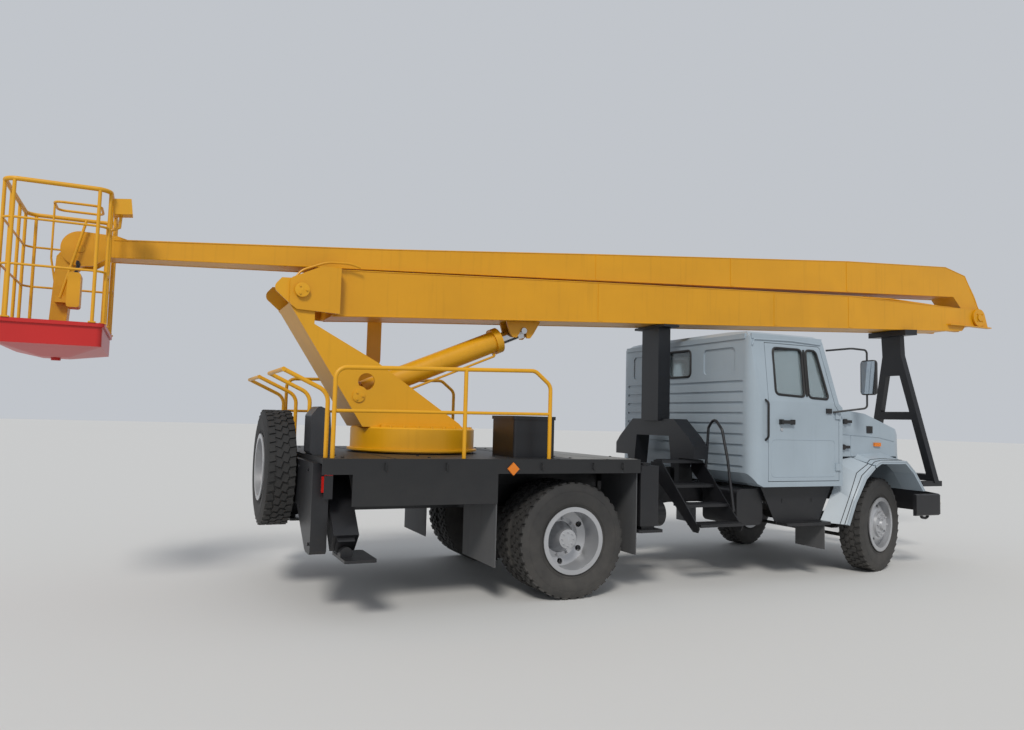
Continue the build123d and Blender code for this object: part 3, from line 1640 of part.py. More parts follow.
# Upper boom: folded back over the lower one, its tip inside the basket.
upper_side = (
    (-3720, 2745),
    (-2240, 2828),
    (810, 3000),
    (4430, 3222),
    (6400, 3345),
    (6640, 3110),
    (6722, 3000),
    (6810, 2968),
    (6898, 3000),
    (6960, 3150),
    (6640, 3650),
    (6250, 3730),
    (4430, 3608),
    (810, 3280),
    (-1440, 3067),
    (-3720, 2886),
)
upper_plan = (
    (-3720, -upper_tip_half),
    (-1440, -upper_half),
    (7100, -upper_half),
    (7100, upper_half),
    (-1440, upper_half),
    (-3720, upper_tip_half),
)
with BuildPart() as upper_boom:
    with BuildSketch(side_plane(0)):
        with BuildLine():
            Polyline(*upper_side, close=True)
        make_face()
    extrude(amount=upper_half, both=True)
    extrude(level_outline(2500, upper_plan), amount=1500, mode=Mode.INTERSECT)
    with BuildPart(mode=Mode.SUBTRACT):
        with BuildSketch(side_plane(0)):
            with BuildLine():
                Polyline(*upper_side, close=True)
            make_face()
            offset(amount=-upper_wall, kind=Kind.INTERSECTION, mode=Mode.REPLACE)
        extrude(amount=upper_half - upper_wall, both=True)
        hollow = (
            (-3740, -upper_tip_half + upper_wall),
            (-1440, -upper_half + upper_wall),
            (7100, -upper_half + upper_wall),
            (7100, upper_half - upper_wall),
            (-1440, upper_half - upper_wall),
            (-3740, upper_tip_half - upper_wall),
        )
        extrude(level_outline(2500, hollow), amount=1500, mode=Mode.INTERSECT)
    open_end = ((-3735, 2756), (-3735, 2875), (-3700, 2877), (-3700, 2758))
    extrude(side_outline(0, open_end), amount=upper_tip_half - 25, both=True, mode=Mode.SUBTRACT)
    for sign in (1, -1):
        head = (
            (basket_pin_x, basket_pin_z + head_radius),
            (-3673, 2922),
            (-3560, 2890),
            (-3560, 2765),
            (-3720, 2745),
            (-3840, 2660),
            (basket_pin_x, basket_pin_z - head_radius),
        )
        with BuildSketch(side_plane(sign * (upper_tip_half - 20))):
            with BuildLine():
                Polyline(*head, close=True)
            make_face()
            with Locations((basket_pin_x, basket_pin_z)):
                Circle(head_radius)
                Circle(basket_pin_radius + run_gap, mode=Mode.SUBTRACT)
        extrude(amount=-sign * head_plate)
    with BuildSketch(side_plane(0)):
        with Locations((elbow_x, elbow_z)):
            Circle(elbow_pin_radius + run_gap)
    extrude(amount=upper_half + 10, both=True, mode=Mode.SUBTRACT)
upper_boom.part.label = "upper_boom"
export_step(upper_boom.part, "parts/upper_boom.step")

# Basket: a pan with a shallow pyramid below, its rails and the post it hangs on.
pan_wall = 25.0
pan_floor_z = 2020.0
basket_middle_x = (basket_rear_x + basket_front_x) / 2
basket_length = basket_front_x - basket_rear_x
with BuildPart() as basket_pan:
    with BuildSketch(level_plane(pan_low_z)):
        with Locations((basket_middle_x, 0)):
            RectangleRounded(basket_length - 30, basket_half * 2 - 30, 40)
    extrude(amount=pan_top_z - pan_low_z)
    with BuildSketch(level_plane(pan_top_z - 28)):
        with Locations((basket_middle_x, 0)):
            RectangleRounded(basket_length, basket_half * 2, 50)
    extrude(amount=28)
    with BuildSketch(level_plane(pan_low_z)):
        with Locations((basket_middle_x, 0)):
            RectangleRounded(basket_length - 30, basket_half * 2 - 30, 40)
    with BuildSketch(level_plane(pan_apex_z)):
        with Locations((basket_middle_x, 0)):
            RectangleRounded(200, 240, 30)
    loft(ruled=True)
    with BuildSketch(level_plane(pan_apex_z - 20)):
        with Locations((basket_middle_x, 0)):
            Circle(34)
    extrude(amount=30)
    with BuildSketch(level_plane(pan_floor_z)):
        with Locations((basket_middle_x, 0)):
            RectangleRounded(basket_length - 30 - 2 * pan_wall, basket_half * 2 - 30 - 2 * pan_wall, 30)
    extrude(amount=pan_top_z, mode=Mode.SUBTRACT)
basket_pan.part.label = "basket_pan"
export_step(basket_pan.part, "parts/basket_pan.step")

rail_rear_x = basket_rear_x + tube_thick
rail_side_y = basket_half - tube_thick
rail_front_x = basket_front_x - tube_thick
with BuildPart() as basket_rails:
    top_loop = (
        point(rail_front_x, -rail_side_y, rail_top_z),
        point(rail_rear_x, -rail_side_y, rail_top_z),
        point(rail_rear_x, rail_side_y, rail_top_z),
        point(rail_front_x, rail_side_y, rail_top_z),
    )
    add(tube(top_loop, 90, tube_thick, closed=True))
    for height in (rail_mid_z, rail_low_z):
        half_loop = (
            point(rail_front_x, -270, height),
            point(rail_front_x, -rail_side_y, height),
            point(rail_rear_x, -rail_side_y, height),
            point(rail_rear_x, rail_side_y, height),
            point(rail_front_x, rail_side_y, height),
            point(rail_front_x, 270, height),
        )
        add(tube(half_loop, 90, tube_thin))
    posts = (
        (rail_rear_x, 200),
        (rail_rear_x, rail_side_y - 70),
        (rail_rear_x + 70, rail_side_y),
        (rail_front_x - 70, rail_side_y),
        (rail_front_x, rail_side_y - 70),
        (rail_front_x, 270),
    )
    for x, y in posts:
        for sign in (1, -1):
            with BuildSketch(level_plane(pan_top_z + run_gap)):
                with Locations((x, sign * y)):
                    Circle(13)
            extrude(amount=rail_top_z - pan_top_z - run_gap)
basket_rails.part.label = "basket_rails"
export_step(basket_rails.part, "parts/basket_rails.step")

post_side = (
    (-4126, pan_floor_z + run_gap),
    (-4094, 2718),
    (-3990, 2868),
    (-3880, 2850),
    (-3850, 2740),
    (-3975, 2600),
    (-4010, pan_floor_z + run_gap),
)
post_half = upper_tip_half - head_plate - clear - 1
with BuildPart() as basket_post:
    extrude(side_outline(0, post_side), amount=post_half, both=True)
    with BuildSketch(side_plane(0)):
        with Locations((basket_pin_x, basket_pin_z)):
            Circle(basket_pin_radius)
    extrude(amount=upper_tip_half + 8, both=True)
    with BuildSketch(side_plane(-135)):
        with Locations((-3945, 2435)):
            RectangleRounded(90, 270, 20)
    extrude(amount=165)
    block(-4080, -3960, -170, -60, 2345, 2395)
    add(tube((point(-4044, -165, 2380), point(-3895, -165, 3014)), 0, 11))
    hoop = (
        point(-3800, -150, 3140),
        point(-3800, 150, 3140),
        point(-4130, 150, 3140),
        point(-4130, -150, 3140),
    )
    add(tube(hoop, 60, 10, closed=True))
    add(tube((point(-4070, -85, 2370), point(-4130, -85, 2700), point(-4130, -85, 3136)), 60, 8))
basket_post.part.label = "basket_post"
export_step(basket_post.part, "parts/basket_post.step")

# Front outriggers: a beam under the rails with a sleeve at each end and a leg in it.
front_jack_x = 780.0
front_jack_y = 1100.0
leg_gap = 0.5
jack_top_z = 1140.0
sleeve_low_z = 600.0
front_leg = 140.0
with BuildPart() as front_outrigger_beam:
    for sign in (1, -1):
        block(
            front_jack_x - 100,
            front_jack_x + 100,
            sign * (rail_outer_y + run_gap),
            sign * (front_jack_y - 60),
            950,
            jack_top_z,
        )
        block(
            front_jack_x - 100,
            front_jack_x + 100,
            sign * (rail_outer_y + run_gap),
            sign * (rail_outer_y + 20),
            780,
            960,
        )
        with BuildSketch(level_plane(sleeve_low_z)):
            with Locations((front_jack_x, sign * front_jack_y)):
                RectangleRounded(200, 200, 18)
        extrude(amount=jack_top_z - sleeve_low_z)
        with BuildSketch(level_plane(sleeve_low_z)):
            with Locations((front_jack_x, sign * front_jack_y)):
                Rectangle(front_leg + 2 * leg_gap, front_leg + 2 * leg_gap)
        extrude(amount=jack_top_z - 25 - sleeve_low_z, mode=Mode.SUBTRACT)
front_outrigger_beam.part.label = "front_outrigger_beam"
export_step(front_outrigger_beam.part, "parts/front_outrigger_beam.step")

# Rear outriggers: a cross frame behind the rails with two sleeves that splay outward.
rear_jack_x = -1985.0
rear_leg = 130.0
splay = Vector(0, 1, -1).normalized()
with BuildPart() as rear_outrigger_frame:
    frame_corners = (
        (-1130, deck_top_z - deck_plate - run_gap),
        (-1130, 475),
        (-930, 475),
        (-480, 790),
        (480, 790),
        (930, 475),
        (1130, 475),
        (1130, deck_top_z - deck_plate - run_gap),
    )
    with BuildSketch(cross_plane(-2225)):
        with BuildLine():
            Polyline(*frame_corners, close=True)
        make_face()
        chamfer(vertices().group_by(Axis.Y)[0], 25)
    extrude(amount=2225 + frame_rear_x - run_gap)
    for sign in (1, -1):
        outward = Vector(0, sign * splay.Y, splay.Z)
        start = point(rear_jack_x, sign * 759, 1021)
        sleeve_plane = Plane(origin=start, x_dir=(1, 0, 0), z_dir=outward)
        with BuildSketch(sleeve_plane):
            Rectangle(190, 190)
        extrude(amount=640)
        with BuildSketch(sleeve_plane):
            Rectangle(rear_leg + 2 * leg_gap, rear_leg + 2 * leg_gap)
        extrude(amount=660, mode=Mode.SUBTRACT)
        block(
            frame_rear_x - 10,
            rear_jack_x - 80,
            sign * 760,
            sign * 1000,
            800,
            1000,
        )
rear_outrigger_frame.part.label = "rear_outrigger_frame"
export_step(rear_outrigger_frame.part, "parts/rear_outrigger_frame.step")

for side, sign in (("left", 1), ("right", -1)):
    with BuildPart() as front_jack:
        with BuildSketch(level_plane(560)):
            with Locations((front_jack_x, sign * front_jack_y)):
                Rectangle(front_leg, front_leg)
        extrude(amount=jack_top_z - 35 - 560)
        with BuildSketch(level_plane(545)):
            with Locations((front_jack_x, sign * front_jack_y)):
                RectangleRounded(260, 260, 20)
        extrude(amount=25)
    front_jack.part.label = f"front_jack_{side}"
    export_step(front_jack.part, f"parts/front_jack_{side}.step")

    outward = Vector(0, sign * splay.Y, splay.Z)
    with BuildPart() as rear_jack:
        start = point(rear_jack_x, sign * 717, 1063)
        with BuildSketch(Plane(origin=start, x_dir=(1, 0, 0), z_dir=outward)):
            Rectangle(rear_leg, rear_leg)
        extrude(amount=735)
        with BuildSketch(level_plane(455)):
            with Locations((rear_jack_x + 75, sign * 1225)):
                RectangleRounded(240, 450, 25)
        extrude(amount=22)
        with BuildSketch(side_plane(sign * 1250)):
            with Locations((rear_jack_x, 505)):
                Circle(45)
            with Locations((rear_jack_x, 480)):
                Rectangle(90, 50)
        extrude(amount=45, both=True)
    rear_jack.part.label = f"rear_jack_{side}"
    export_step(rear_jack.part, f"parts/rear_jack_{side}.step")

with BuildPart() as tail_lamps:
    for sign in (1, -1):
        with BuildSketch(cross_plane(-2140)):
            with Locations((sign * (deck_half - 65), 1000)):
                RectangleRounded(100, 200, 20)
        extrude(amount=45)
        block(-2160, -2120, sign * (deck_half - 120 + run_gap), sign * (deck_half - 100), 940, 1060)
tail_lamps.part.label = "tail_lamps"
export_step(tail_lamps.part, "parts/tail_lamps.step")

# Spare wheel, upright against the rear frame, its bore along the truck.
spare_plane = axle_plane(-2225 - tyre_width / 2 - run_gap, 0, 1060, (-1, 0, 0))
with BuildPart() as spare_tyre:
    add(tyre_outline(spare_plane, 0))
    revolve(axis=axle_line(spare_plane))
spare_tyre.part.label = "spare_tyre"
export_step(spare_tyre.part, "parts/spare_tyre.step")

with BuildPart() as spare_wheel:
    add(rim_outline(spare_plane, 0))
    with BuildSketch(spare_plane):
        with Locations((-20, (rim_inner_radius + hub_radius) / 2 + 4)):
            Rectangle(disc_thickness, rim_inner_radius - hub_radius + 8)
    revolve(axis=axle_line(spare_plane))
spare_wheel.part.label = "spare_wheel"
export_step(spare_wheel.part, "parts/spare_wheel.step")

# Deck railings: side rails that curve down in front and two hoops behind.
railing_y = 1180.0
with BuildPart() as deck_railings:
    for sign in (1, -1):
        y = sign * railing_y
        foot = deck_top_z + run_gap
        top = (
            point(-2095, y, foot),
            point(-2095, y, 1890),
            point(-400, y, 1945),
            point(-250, y, 1825),
            point(-250, y, foot),
        )
        add(tube(top, 90, tube_thick))
        add(tube((point(-2080, y, 1560), point(-240, y, 1580)), 0, tube_thick - 4))
        add(tube((point(-1030, y, foot), point(-1030, y, 1925)), 0, tube_thick))
        for hoop_y in (1100, 350):
            hoop = (
                point(-2130, sign * hoop_y, foot),
                point(-2130, sign * hoop_y, 1700),
                point(-2470, sign * hoop_y, 1860),
            )
            add(tube(hoop, 120, tube_thick))
        add(tube((point(-2470, sign * 330, 1860), point(-2470, sign * 1120, 1860)), 0, tube_thick))
deck_railings.part.label = "deck_railings"
export_step(deck_railings.part, "parts/deck_railings.step")

# Stairs on the right: stringers, treads and a bent handrail.
stair_rear_x = 1310.0
stair_front_x = 1830.0
with BuildPart() as access_stairs:
    stringer = ((-450, 1140), (-640, 1140), (-1230, 560), (-1210, 520), (-1140, 520), (-450, 1050))
    for x in (stair_rear_x, stair_front_x - 10):
        extrude(cross_outline(x, stringer), amount=10)
    for y, z in ((-720, 930), (-930, 760), (-1150, 600)):
        block(stair_rear_x + 5, stair_front_x - 5, y - 100, y + 100, z - 28, z)
    block(stair_rear_x + 5, stair_front_x - 5, -640, -490, deck_top_z - 68, deck_top_z - 40)
    for x in (1400, 1600):
        block(x - 30, x + 30, -500, -rail_outer_y - run_gap, 800, deck_top_z - 60)
    handrail = (
        point(stair_front_x + 12, -660, 1060),
        point(stair_front_x + 20, -690, 1500),
        point(stair_front_x + 20, -780, 1600),
        point(stair_front_x + 20, -900, 1480),
        point(stair_front_x + 20, -985, 1185),
        point(stair_front_x + 12, -1085, 690),
    )
    add(tube(handrail, 60, 14))
access_stairs.part.label = "access_stairs"
export_step(access_stairs.part, "parts/access_stairs.step")

# Tanks and boxes slung from the rails.
with BuildPart() as side_tanks:
    with BuildSketch(side_plane(1000)):
        with Locations((1550, 710)):
            RectangleRounded(900, 420, 90)
    extrude(amount=1000 - rail_outer_y - 20)
    with BuildSketch(cross_plane(950)):
        with Locations((-620, 640)):
            Circle(130)
    extrude(amount=340)
    with BuildSketch(side_plane(-500)):
        with Locations((2100, 720)):
            RectangleRounded(330, 360, 60)
    extrude(amount=520)
    block(1200, 1240, rail_outer_y + run_gap, 460, 740, 900)
    block(1860, 1900, rail_outer_y + run_gap, 460, 740, 900)
    block(1000, 1040, -500, -rail_outer_y - run_gap, 740, 900)
    block(1000, 1040, -620, -490, 760, 800)
    block(2080, 2120, -510, -rail_outer_y - run_gap, 740, 900)
side_tanks.part.label = "side_tanks"
export_step(side_tanks.part, "parts/side_tanks.step")

with BuildPart() as toolbox:
    with BuildSketch(level_plane(deck_top_z + run_gap)):
        with Locations((-300, -760)):
            RectangleRounded(400, 480, 25)
    extrude(amount=330)
    with BuildSketch(level_plane(deck_top_z + 330)):
        with Locations((-300, -760)):
            RectangleRounded(420, 500, 30)
    extrude(amount=30)
toolbox.part.label = "toolbox"
export_step(toolbox.part, "parts/toolbox.step")

with BuildPart() as control_console:
    with BuildSketch(side_plane(-390)):
        with BuildLine():
            Polyline(
                (-2170, deck_top_z + run_gap),
                (-1990, deck_top_z + run_gap),
                (-2020, 1560),
                (-2110, 1600),
                (-2170, 1520),
                close=True,
            )
        make_face()
        fillet(vertices().group_by(Axis.Z)[-1], 30)
    extrude(amount=290)
control_console.part.label = "control_console"
export_step(control_console.part, "parts/control_console.step")

# Mud flaps behind the front wheels and on both sides of the rear ones.
with BuildPart() as mudflaps:
    for sign in (1, -1):
        block(2893, 2901, sign * 830, sign * 1220, 300, step_low_z - run_gap)
        block(-758, -750, sign * 520, sign * (deck_half - skirt - run_gap), 320, arch_z - run_gap)
        block(630 + run_gap, 638, sign * 600, sign * 1200, 350, 1130)
mudflaps.part.label = "mudflaps"
export_step(mudflaps.part, "parts/mudflaps.step")
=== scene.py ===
import json
from math import cos, pi, radians, sin

import bpy
from mathutils import Matrix, Vector


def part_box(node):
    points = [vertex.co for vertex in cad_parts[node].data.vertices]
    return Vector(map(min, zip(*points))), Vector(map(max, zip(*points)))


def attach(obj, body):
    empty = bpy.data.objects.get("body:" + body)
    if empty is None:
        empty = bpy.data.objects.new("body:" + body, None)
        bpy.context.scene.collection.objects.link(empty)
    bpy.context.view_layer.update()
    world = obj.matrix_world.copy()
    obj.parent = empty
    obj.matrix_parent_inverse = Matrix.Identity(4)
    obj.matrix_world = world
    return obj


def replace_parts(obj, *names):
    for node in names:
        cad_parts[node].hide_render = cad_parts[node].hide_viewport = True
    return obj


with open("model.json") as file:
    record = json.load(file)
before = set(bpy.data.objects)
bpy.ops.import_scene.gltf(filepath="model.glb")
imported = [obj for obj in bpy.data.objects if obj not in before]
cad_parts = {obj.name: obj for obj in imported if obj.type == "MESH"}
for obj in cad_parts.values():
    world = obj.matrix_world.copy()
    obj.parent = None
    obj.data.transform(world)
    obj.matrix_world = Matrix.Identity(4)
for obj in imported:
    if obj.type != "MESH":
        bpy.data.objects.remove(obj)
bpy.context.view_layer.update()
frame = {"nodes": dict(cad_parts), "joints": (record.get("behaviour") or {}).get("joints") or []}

# Driving sizes, in metres, as in the CAD source. Every x is counted from the rear axle.
REAR_AXLE_X = -1.305
CAB_HALF = 1.18
CAB_REAR_X = 2.0
CAB_BELT_Z = 1.78
ROOF_EDGE_Z = 2.42
TUMBLEHOME = 0.07
SCREEN_LOW_X, SCREEN_LOW_Z = 3.15, 1.78
SCREEN_HIGH_X, SCREEN_HIGH_Z = 2.98, 2.45
TYRE_RADIUS = 0.5
TREAD_DEPTH = 0.014
BEAD_RADIUS = 0.258
DECK_TOP_Z = 1.2
DECK_HALF = 1.25
SLEW_X = -1.095
DRUM_RADIUS = 0.58
UP = Vector((0, 0, 1))
SIDES = (1, -1)
SIDE_NAMES = (("left", 1), ("right", -1))

joints = {joint["name"]: joint for joint in frame["joints"]}


def at(x, y, z):
    return Vector((REAR_AXLE_X + x, y, z))


# Shapes: points and faces gathered into one mesh for each piece.
class Shape:
    def __init__(self):
        self.points = []
        self.faces = []

    def add(self, points, faces):
        first = len(self.points)
        self.points += [Vector(p) for p in points]
        self.faces += [[first + i for i in face] for face in faces]

    def box(self, centre, size, turn=None):
        half = Vector(size) / 2
        turn = turn or Matrix.Identity(3)
        corners = [
            centre + turn @ Vector((sx * half.x, sy * half.y, sz * half.z))
            for sx in (-1, 1)
            for sy in (-1, 1)
            for sz in (-1, 1)
        ]
        sides = [(0, 1, 3, 2), (4, 6, 7, 5), (0, 4, 5, 1), (2, 3, 7, 6), (0, 2, 6, 4), (1, 5, 7, 3)]
        self.add(corners, sides)

    def lathe(self, origin, axis, profile, steps=48):
        # The profile is a closed list of (distance along the axis, radius).
        axis = axis.normalized()
        side = axis.orthogonal().normalized()
        other = axis.cross(side)
        points = []
        for step in range(steps):
            angle = 2 * pi * step / steps
            out = side * cos(angle) + other * sin(angle)
            points += [origin + axis * a + out * r for a, r in profile]
        count = len(profile)
        faces = []
        for step in range(steps):
            here, there = step * count, (step + 1) % steps * count
            for i in range(count):
                k = (i + 1) % count
                faces.append((here + i, there + i, there + k, here + k))
        self.add(points, faces)

    def rod(self, start, end, radius, steps=12):
        length = (end - start).length
        profile = [(0, 1e-4), (0, radius), (length, radius), (length, 1e-4)]
        self.lathe(start, end - start, profile, steps)

    def pipe(self, points, radius, steps=8, closed=False):
        # A tube along the points, whose rings stay square to the way.
        count = len(points)
        rings = []
        side = None
        for i, p in enumerate(points):
            before = points[i - 1] if closed or i > 0 else p
            after = points[(i + 1) % count] if closed or i < count - 1 else p
            way = (after - before).normalized()
            side = way.orthogonal() if side is None else side - way * side.dot(way)
            side = side.normalized()
            other = way.cross(side)
            angles = [2 * pi * k / steps for k in range(steps)]
            rings.append([p + (side * cos(a) + other * sin(a)) * radius for a in angles])
        faces = []
        for i in range(count if closed else count - 1):
            here, there = i * steps, (i + 1) % count * steps
            for k in range(steps):
                m = (k + 1) % steps
                faces.append((here + k, there + k, there + m, here + m))
        if not closed:
            faces.append(tuple(range(steps)))
            faces.append(tuple(reversed(range((count - 1) * steps, count * steps))))
        self.add([p for ring in rings for p in ring], faces)

    def piece(self, name, material, body, sharp=35):
        mesh = bpy.data.meshes.new(name)
        mesh.from_pydata(self.points, [], self.faces)
        mesh.validate()
        mesh.update()
        mesh.shade_smooth()
        mesh.set_sharp_from_angle(angle=radians(sharp))
        mesh.materials.append(materials[material])
        obj = bpy.data.objects.new(name, mesh)
        bpy.context.scene.collection.objects.link(obj)
        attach(obj, body)
        return obj


def rounded(corners, radius, steps=4):
    # A closed outline whose corners become short arcs.
    points = []
    count = len(corners)
    for i, corner in enumerate(corners):
        back = (corners[i - 1] - corner).normalized() * radius
        ahead = (corners[(i + 1) % count] - corner).normalized() * radius
        for step in range(steps + 1):
            t = step / steps
            points.append(corner + back * (1 - t) ** 2 + ahead * t**2)
    return points


def bent(corners, radius, steps=4):
    # An open way whose inner corners become short arcs.
    points = [corners[0]]
    for before, corner, after in zip(corners, corners[1:], corners[2:]):
        back = (before - corner).normalized() * radius
        ahead = (after - corner).normalized() * radius
        for step in range(steps + 1):
            t = step / steps
            points.append(corner + back * (1 - t) ** 2 + ahead * t**2)
    return points + [corners[-1]]


# Materials: each is a Principled shader with slow colour drift, dust and a fine grain.
DUST = (0.17, 0.155, 0.135, 1)
DUST_HEIGHTS = (1.3, 0.15)


def noise(tree, vector, scale, detail=2.0, roughness=0.5):
    node = tree.nodes.new("ShaderNodeTexNoise")
    node.inputs["Scale"].default_value = scale
    node.inputs["Detail"].default_value = detail
    node.inputs["Roughness"].default_value = roughness
    tree.links.new(vector, node.inputs["Vector"])
    return node.outputs["Fac"]


def remap(tree, value, source, target):
    # The value's source range, laid onto the target range.
    node = tree.nodes.new("ShaderNodeMapRange")
    for name, amount in zip(("From Min", "From Max", "To Min", "To Max"), (*source, *target)):
        node.inputs[name].default_value = amount
    tree.links.new(value, node.inputs["Value"])
    return node.outputs["Result"]


def mix(tree, factor, below, above):
    # The fixed colour above, laid over what is below, which is a fixed colour or a node's output.
    node = tree.nodes.new("ShaderNodeMix")
    node.data_type = "RGBA"
    tree.links.new(factor, node.inputs["Factor"])
    if isinstance(below, bpy.types.NodeSocket):
        tree.links.new(below, node.inputs["A"])
    else:
        node.inputs["A"].default_value = below
    node.inputs["B"].default_value = above
    return node.outputs["Result"]


def shaded(color, share):
    return [min(c * share, 1) for c in color] + [1]


def surface(name, color, rough, metallic=0.0, dust=0.25, grain=0.05, grain_scale=180.0, streaks=0.0):
    material = bpy.data.materials.new(name)
    material.use_nodes = True
    tree = material.node_tree
    shader = tree.nodes["Principled BSDF"]
    shader.inputs["Roughness"].default_value = rough
    shader.inputs["Metallic"].default_value = metallic
    place = tree.nodes.new("ShaderNodeTexCoord").outputs["Object"]
    drift = noise(tree, place, 2.3, detail=6.0)
    look = mix(tree, drift, shaded(color, 0.86), shaded(color, 1.1))

    # Dust lies in patches, and thicker near the ground.
    parts = tree.nodes.new("ShaderNodeSeparateXYZ")
    tree.links.new(place, parts.inputs["Vector"])
    level = tree.nodes.new("ShaderNodeMath")
    level.operation = "MULTIPLY"
    low = remap(tree, parts.outputs["Z"], DUST_HEIGHTS, (dust * 0.25, dust * 2.2))
    tree.links.new(low, level.inputs[0])
    tree.links.new(noise(tree, place, 7.0, detail=8.0, roughness=0.65), level.inputs[1])
    look = mix(tree, level.outputs["Value"], look, DUST)

    # Streaks run down the sides, so their noise is stretched along Z.
    if streaks:
        stretch = tree.nodes.new("ShaderNodeMapping")
        stretch.inputs["Scale"].default_value = (22.0, 22.0, 1.2)
        tree.links.new(place, stretch.inputs["Vector"])
        wave = noise(tree, stretch.outputs["Vector"], 1.0, detail=5.0)
        edge = remap(tree, wave, (0.56, 0.78), (0.0, streaks))
        look = mix(tree, edge, look, shaded(color, 0.35))
    tree.links.new(look, shader.inputs["Base Color"])

    bump = tree.nodes.new("ShaderNodeBump")
    bump.inputs["Strength"].default_value = grain
    bump.inputs["Distance"].default_value = 0.002
    tree.links.new(noise(tree, place, grain_scale), bump.inputs["Height"])
    tree.links.new(bump.outputs["Normal"], shader.inputs["Normal"])
    return material


def clear(name, color, rough, transmission):
    # Glass or a lens, with a film that makes it duller in patches.
    material = bpy.data.materials.new(name)
    material.use_nodes = True
    tree = material.node_tree
    shader = tree.nodes["Principled BSDF"]
    shader.inputs["Base Color"].default_value = [*color, 1]
    shader.inputs["Transmission Weight"].default_value = transmission
    shader.inputs["IOR"].default_value = 1.45
    place = tree.nodes.new("ShaderNodeTexCoord").outputs["Object"]
    film = noise(tree, place, 5.0, detail=7.0)
    dulled = remap(tree, film, (0.0, 1.0), (rough, rough + 0.12))
    tree.links.new(dulled, shader.inputs["Roughness"])
    return material


materials = {
    # The boom's yellow is the turret's paint set darker, as painted shade, because the boom stands in
    # shade.
    "boom": surface("boom_yellow_painted_shade", (0.66, 0.305, 0.002), 0.42, dust=0.03, grain=0.03, streaks=0.16),
    "yellow": surface("turret_yellow", (0.70, 0.34, 0.003), 0.42, dust=0.05, grain=0.04, streaks=0.12),
    "red": surface("pan_red", (0.52, 0.012, 0.010), 0.36, dust=0.06),
    "cab": surface("cab_grey", (0.33, 0.395, 0.45), 0.34, dust=0.06, grain=0.03, streaks=0.08),
    "flare": surface("flare_grey", (0.37, 0.43, 0.48), 0.42, dust=0.10),
    "black": surface("frame_black", (0.006, 0.007, 0.010), 0.38, dust=0.07, grain=0.06),
    "deck": surface("deck_black", (0.008, 0.009, 0.011), 0.5, dust=0.10, grain=0.25, grain_scale=60.0),
    "iron": surface(
        "axle_iron", (0.012, 0.012, 0.012), 0.7, metallic=0.3, dust=0.22, grain=0.4, grain_scale=45.0
    ),
    "silver": surface("wheel_silver", (0.50, 0.51, 0.53), 0.36, metallic=0.6, dust=0.10, grain=0.06),
    "chrome": surface("rod_chrome", (0.62, 0.62, 0.63), 0.12, metallic=1.0, dust=0.02, grain=0.01),
    "tyre": surface("tyre_rubber", (0.017, 0.018, 0.020), 0.78, dust=0.22, grain=0.5, grain_scale=90.0),
    "flap": surface("flap_rubber", (0.075, 0.080, 0.088), 0.7, dust=0.22, grain=0.2, streaks=0.2),
    "seal": surface("seal_rubber", (0.012, 0.012, 0.013), 0.6, dust=0.10),
    "plastic": surface("trim_plastic", (0.025, 0.026, 0.028), 0.5, dust=0.10, grain=0.12),
    "seat": surface("seat_vinyl", (0.07, 0.06, 0.055), 0.6, dust=0.05, grain=0.3, grain_scale=260.0),
    "console": surface("console_grey", (0.030, 0.033, 0.039), 0.42, dust=0.10),
    "worn": surface("worn_plate", (0.23, 0.235, 0.23), 0.6, dust=0.3, grain=0.2, streaks=0.3),
    "white": surface("lamp_white", (0.72, 0.72, 0.70), 0.4, dust=0.2),
    "amber": clear("amber_lens", (0.9, 0.25, 0.02), 0.15, 0.25),
    "tail": clear("red_lens", (0.55, 0.02, 0.015), 0.15, 0.15),
    "lens": clear("lamp_lens", (0.85, 0.88, 0.9), 0.08, 0.35),
    "glass": clear("window_glass", (0.62, 0.70, 0.72), 0.02, 0.85),
    "mirror": surface("mirror_glass", (0.75, 0.77, 0.80), 0.04, metallic=1.0, dust=0.01, grain=0.0),
}
node_materials = {
    "boom": ("lower_boom", "upper_boom", "elbow_lever"),
    "yellow": ("turret", "lift_barrel", "basket_rails", "basket_post", "deck_railings"),
    "red": ("basket_pan",),
    "cab": ("cab_shell", "cab_door_left", "cab_door_right", "bonnet"),
    "flare": ("cab_flares",),
    "black": (
        "chassis_frame",
        "front_bumper",
        "front_boom_rest",
        "rear_boom_rest",
        "access_stairs",
        "side_tanks",
        "side_steps",
        "front_outrigger_beam",
        "rear_outrigger_frame",
        "front_jack_left",
        "front_jack_right",
        "rear_jack_left",
        "rear_jack_right",
        "toolbox",
    ),
    "deck": ("deck",),
    "iron": (
        "front_axle",
        "rear_axle",
        "leaf_springs",
        "engine",
        "propeller_shaft",
        "knuckle_left",
        "knuckle_right",
        "track_rod",
    ),
    "silver": (
        "front_wheel_left",
        "front_wheel_right",
        "rear_wheel_left",
        "rear_wheel_right",
        "spare_wheel",
    ),
    "tyre": (
        "front_tyre_left",
        "front_tyre_right",
        "rear_tyres_left",
        "rear_tyres_right",
        "spare_tyre",
    ),
    "chrome": ("lift_rod",),
    "flap": ("mudflaps",),
    "plastic": ("grille", "door_mirror_left", "door_mirror_right"),
    "seat": ("cab_interior",),
    "console": ("control_console",),
    "glass": ("cab_glass", "door_glass_left", "door_glass_right"),
    "lens": ("headlamps",),
    "tail": ("tail_lamps",),
}
for look, names in node_materials.items():
    for name in names:
        node = frame["nodes"][name]
        node.data.materials.clear()
        node.data.materials.append(materials[look])

# Tyres: a carcass turned about the wheel's axle, with tread blocks set round it.
LUGS = 38
GROOVE_RADIUS = TYRE_RADIUS - TREAD_DEPTH
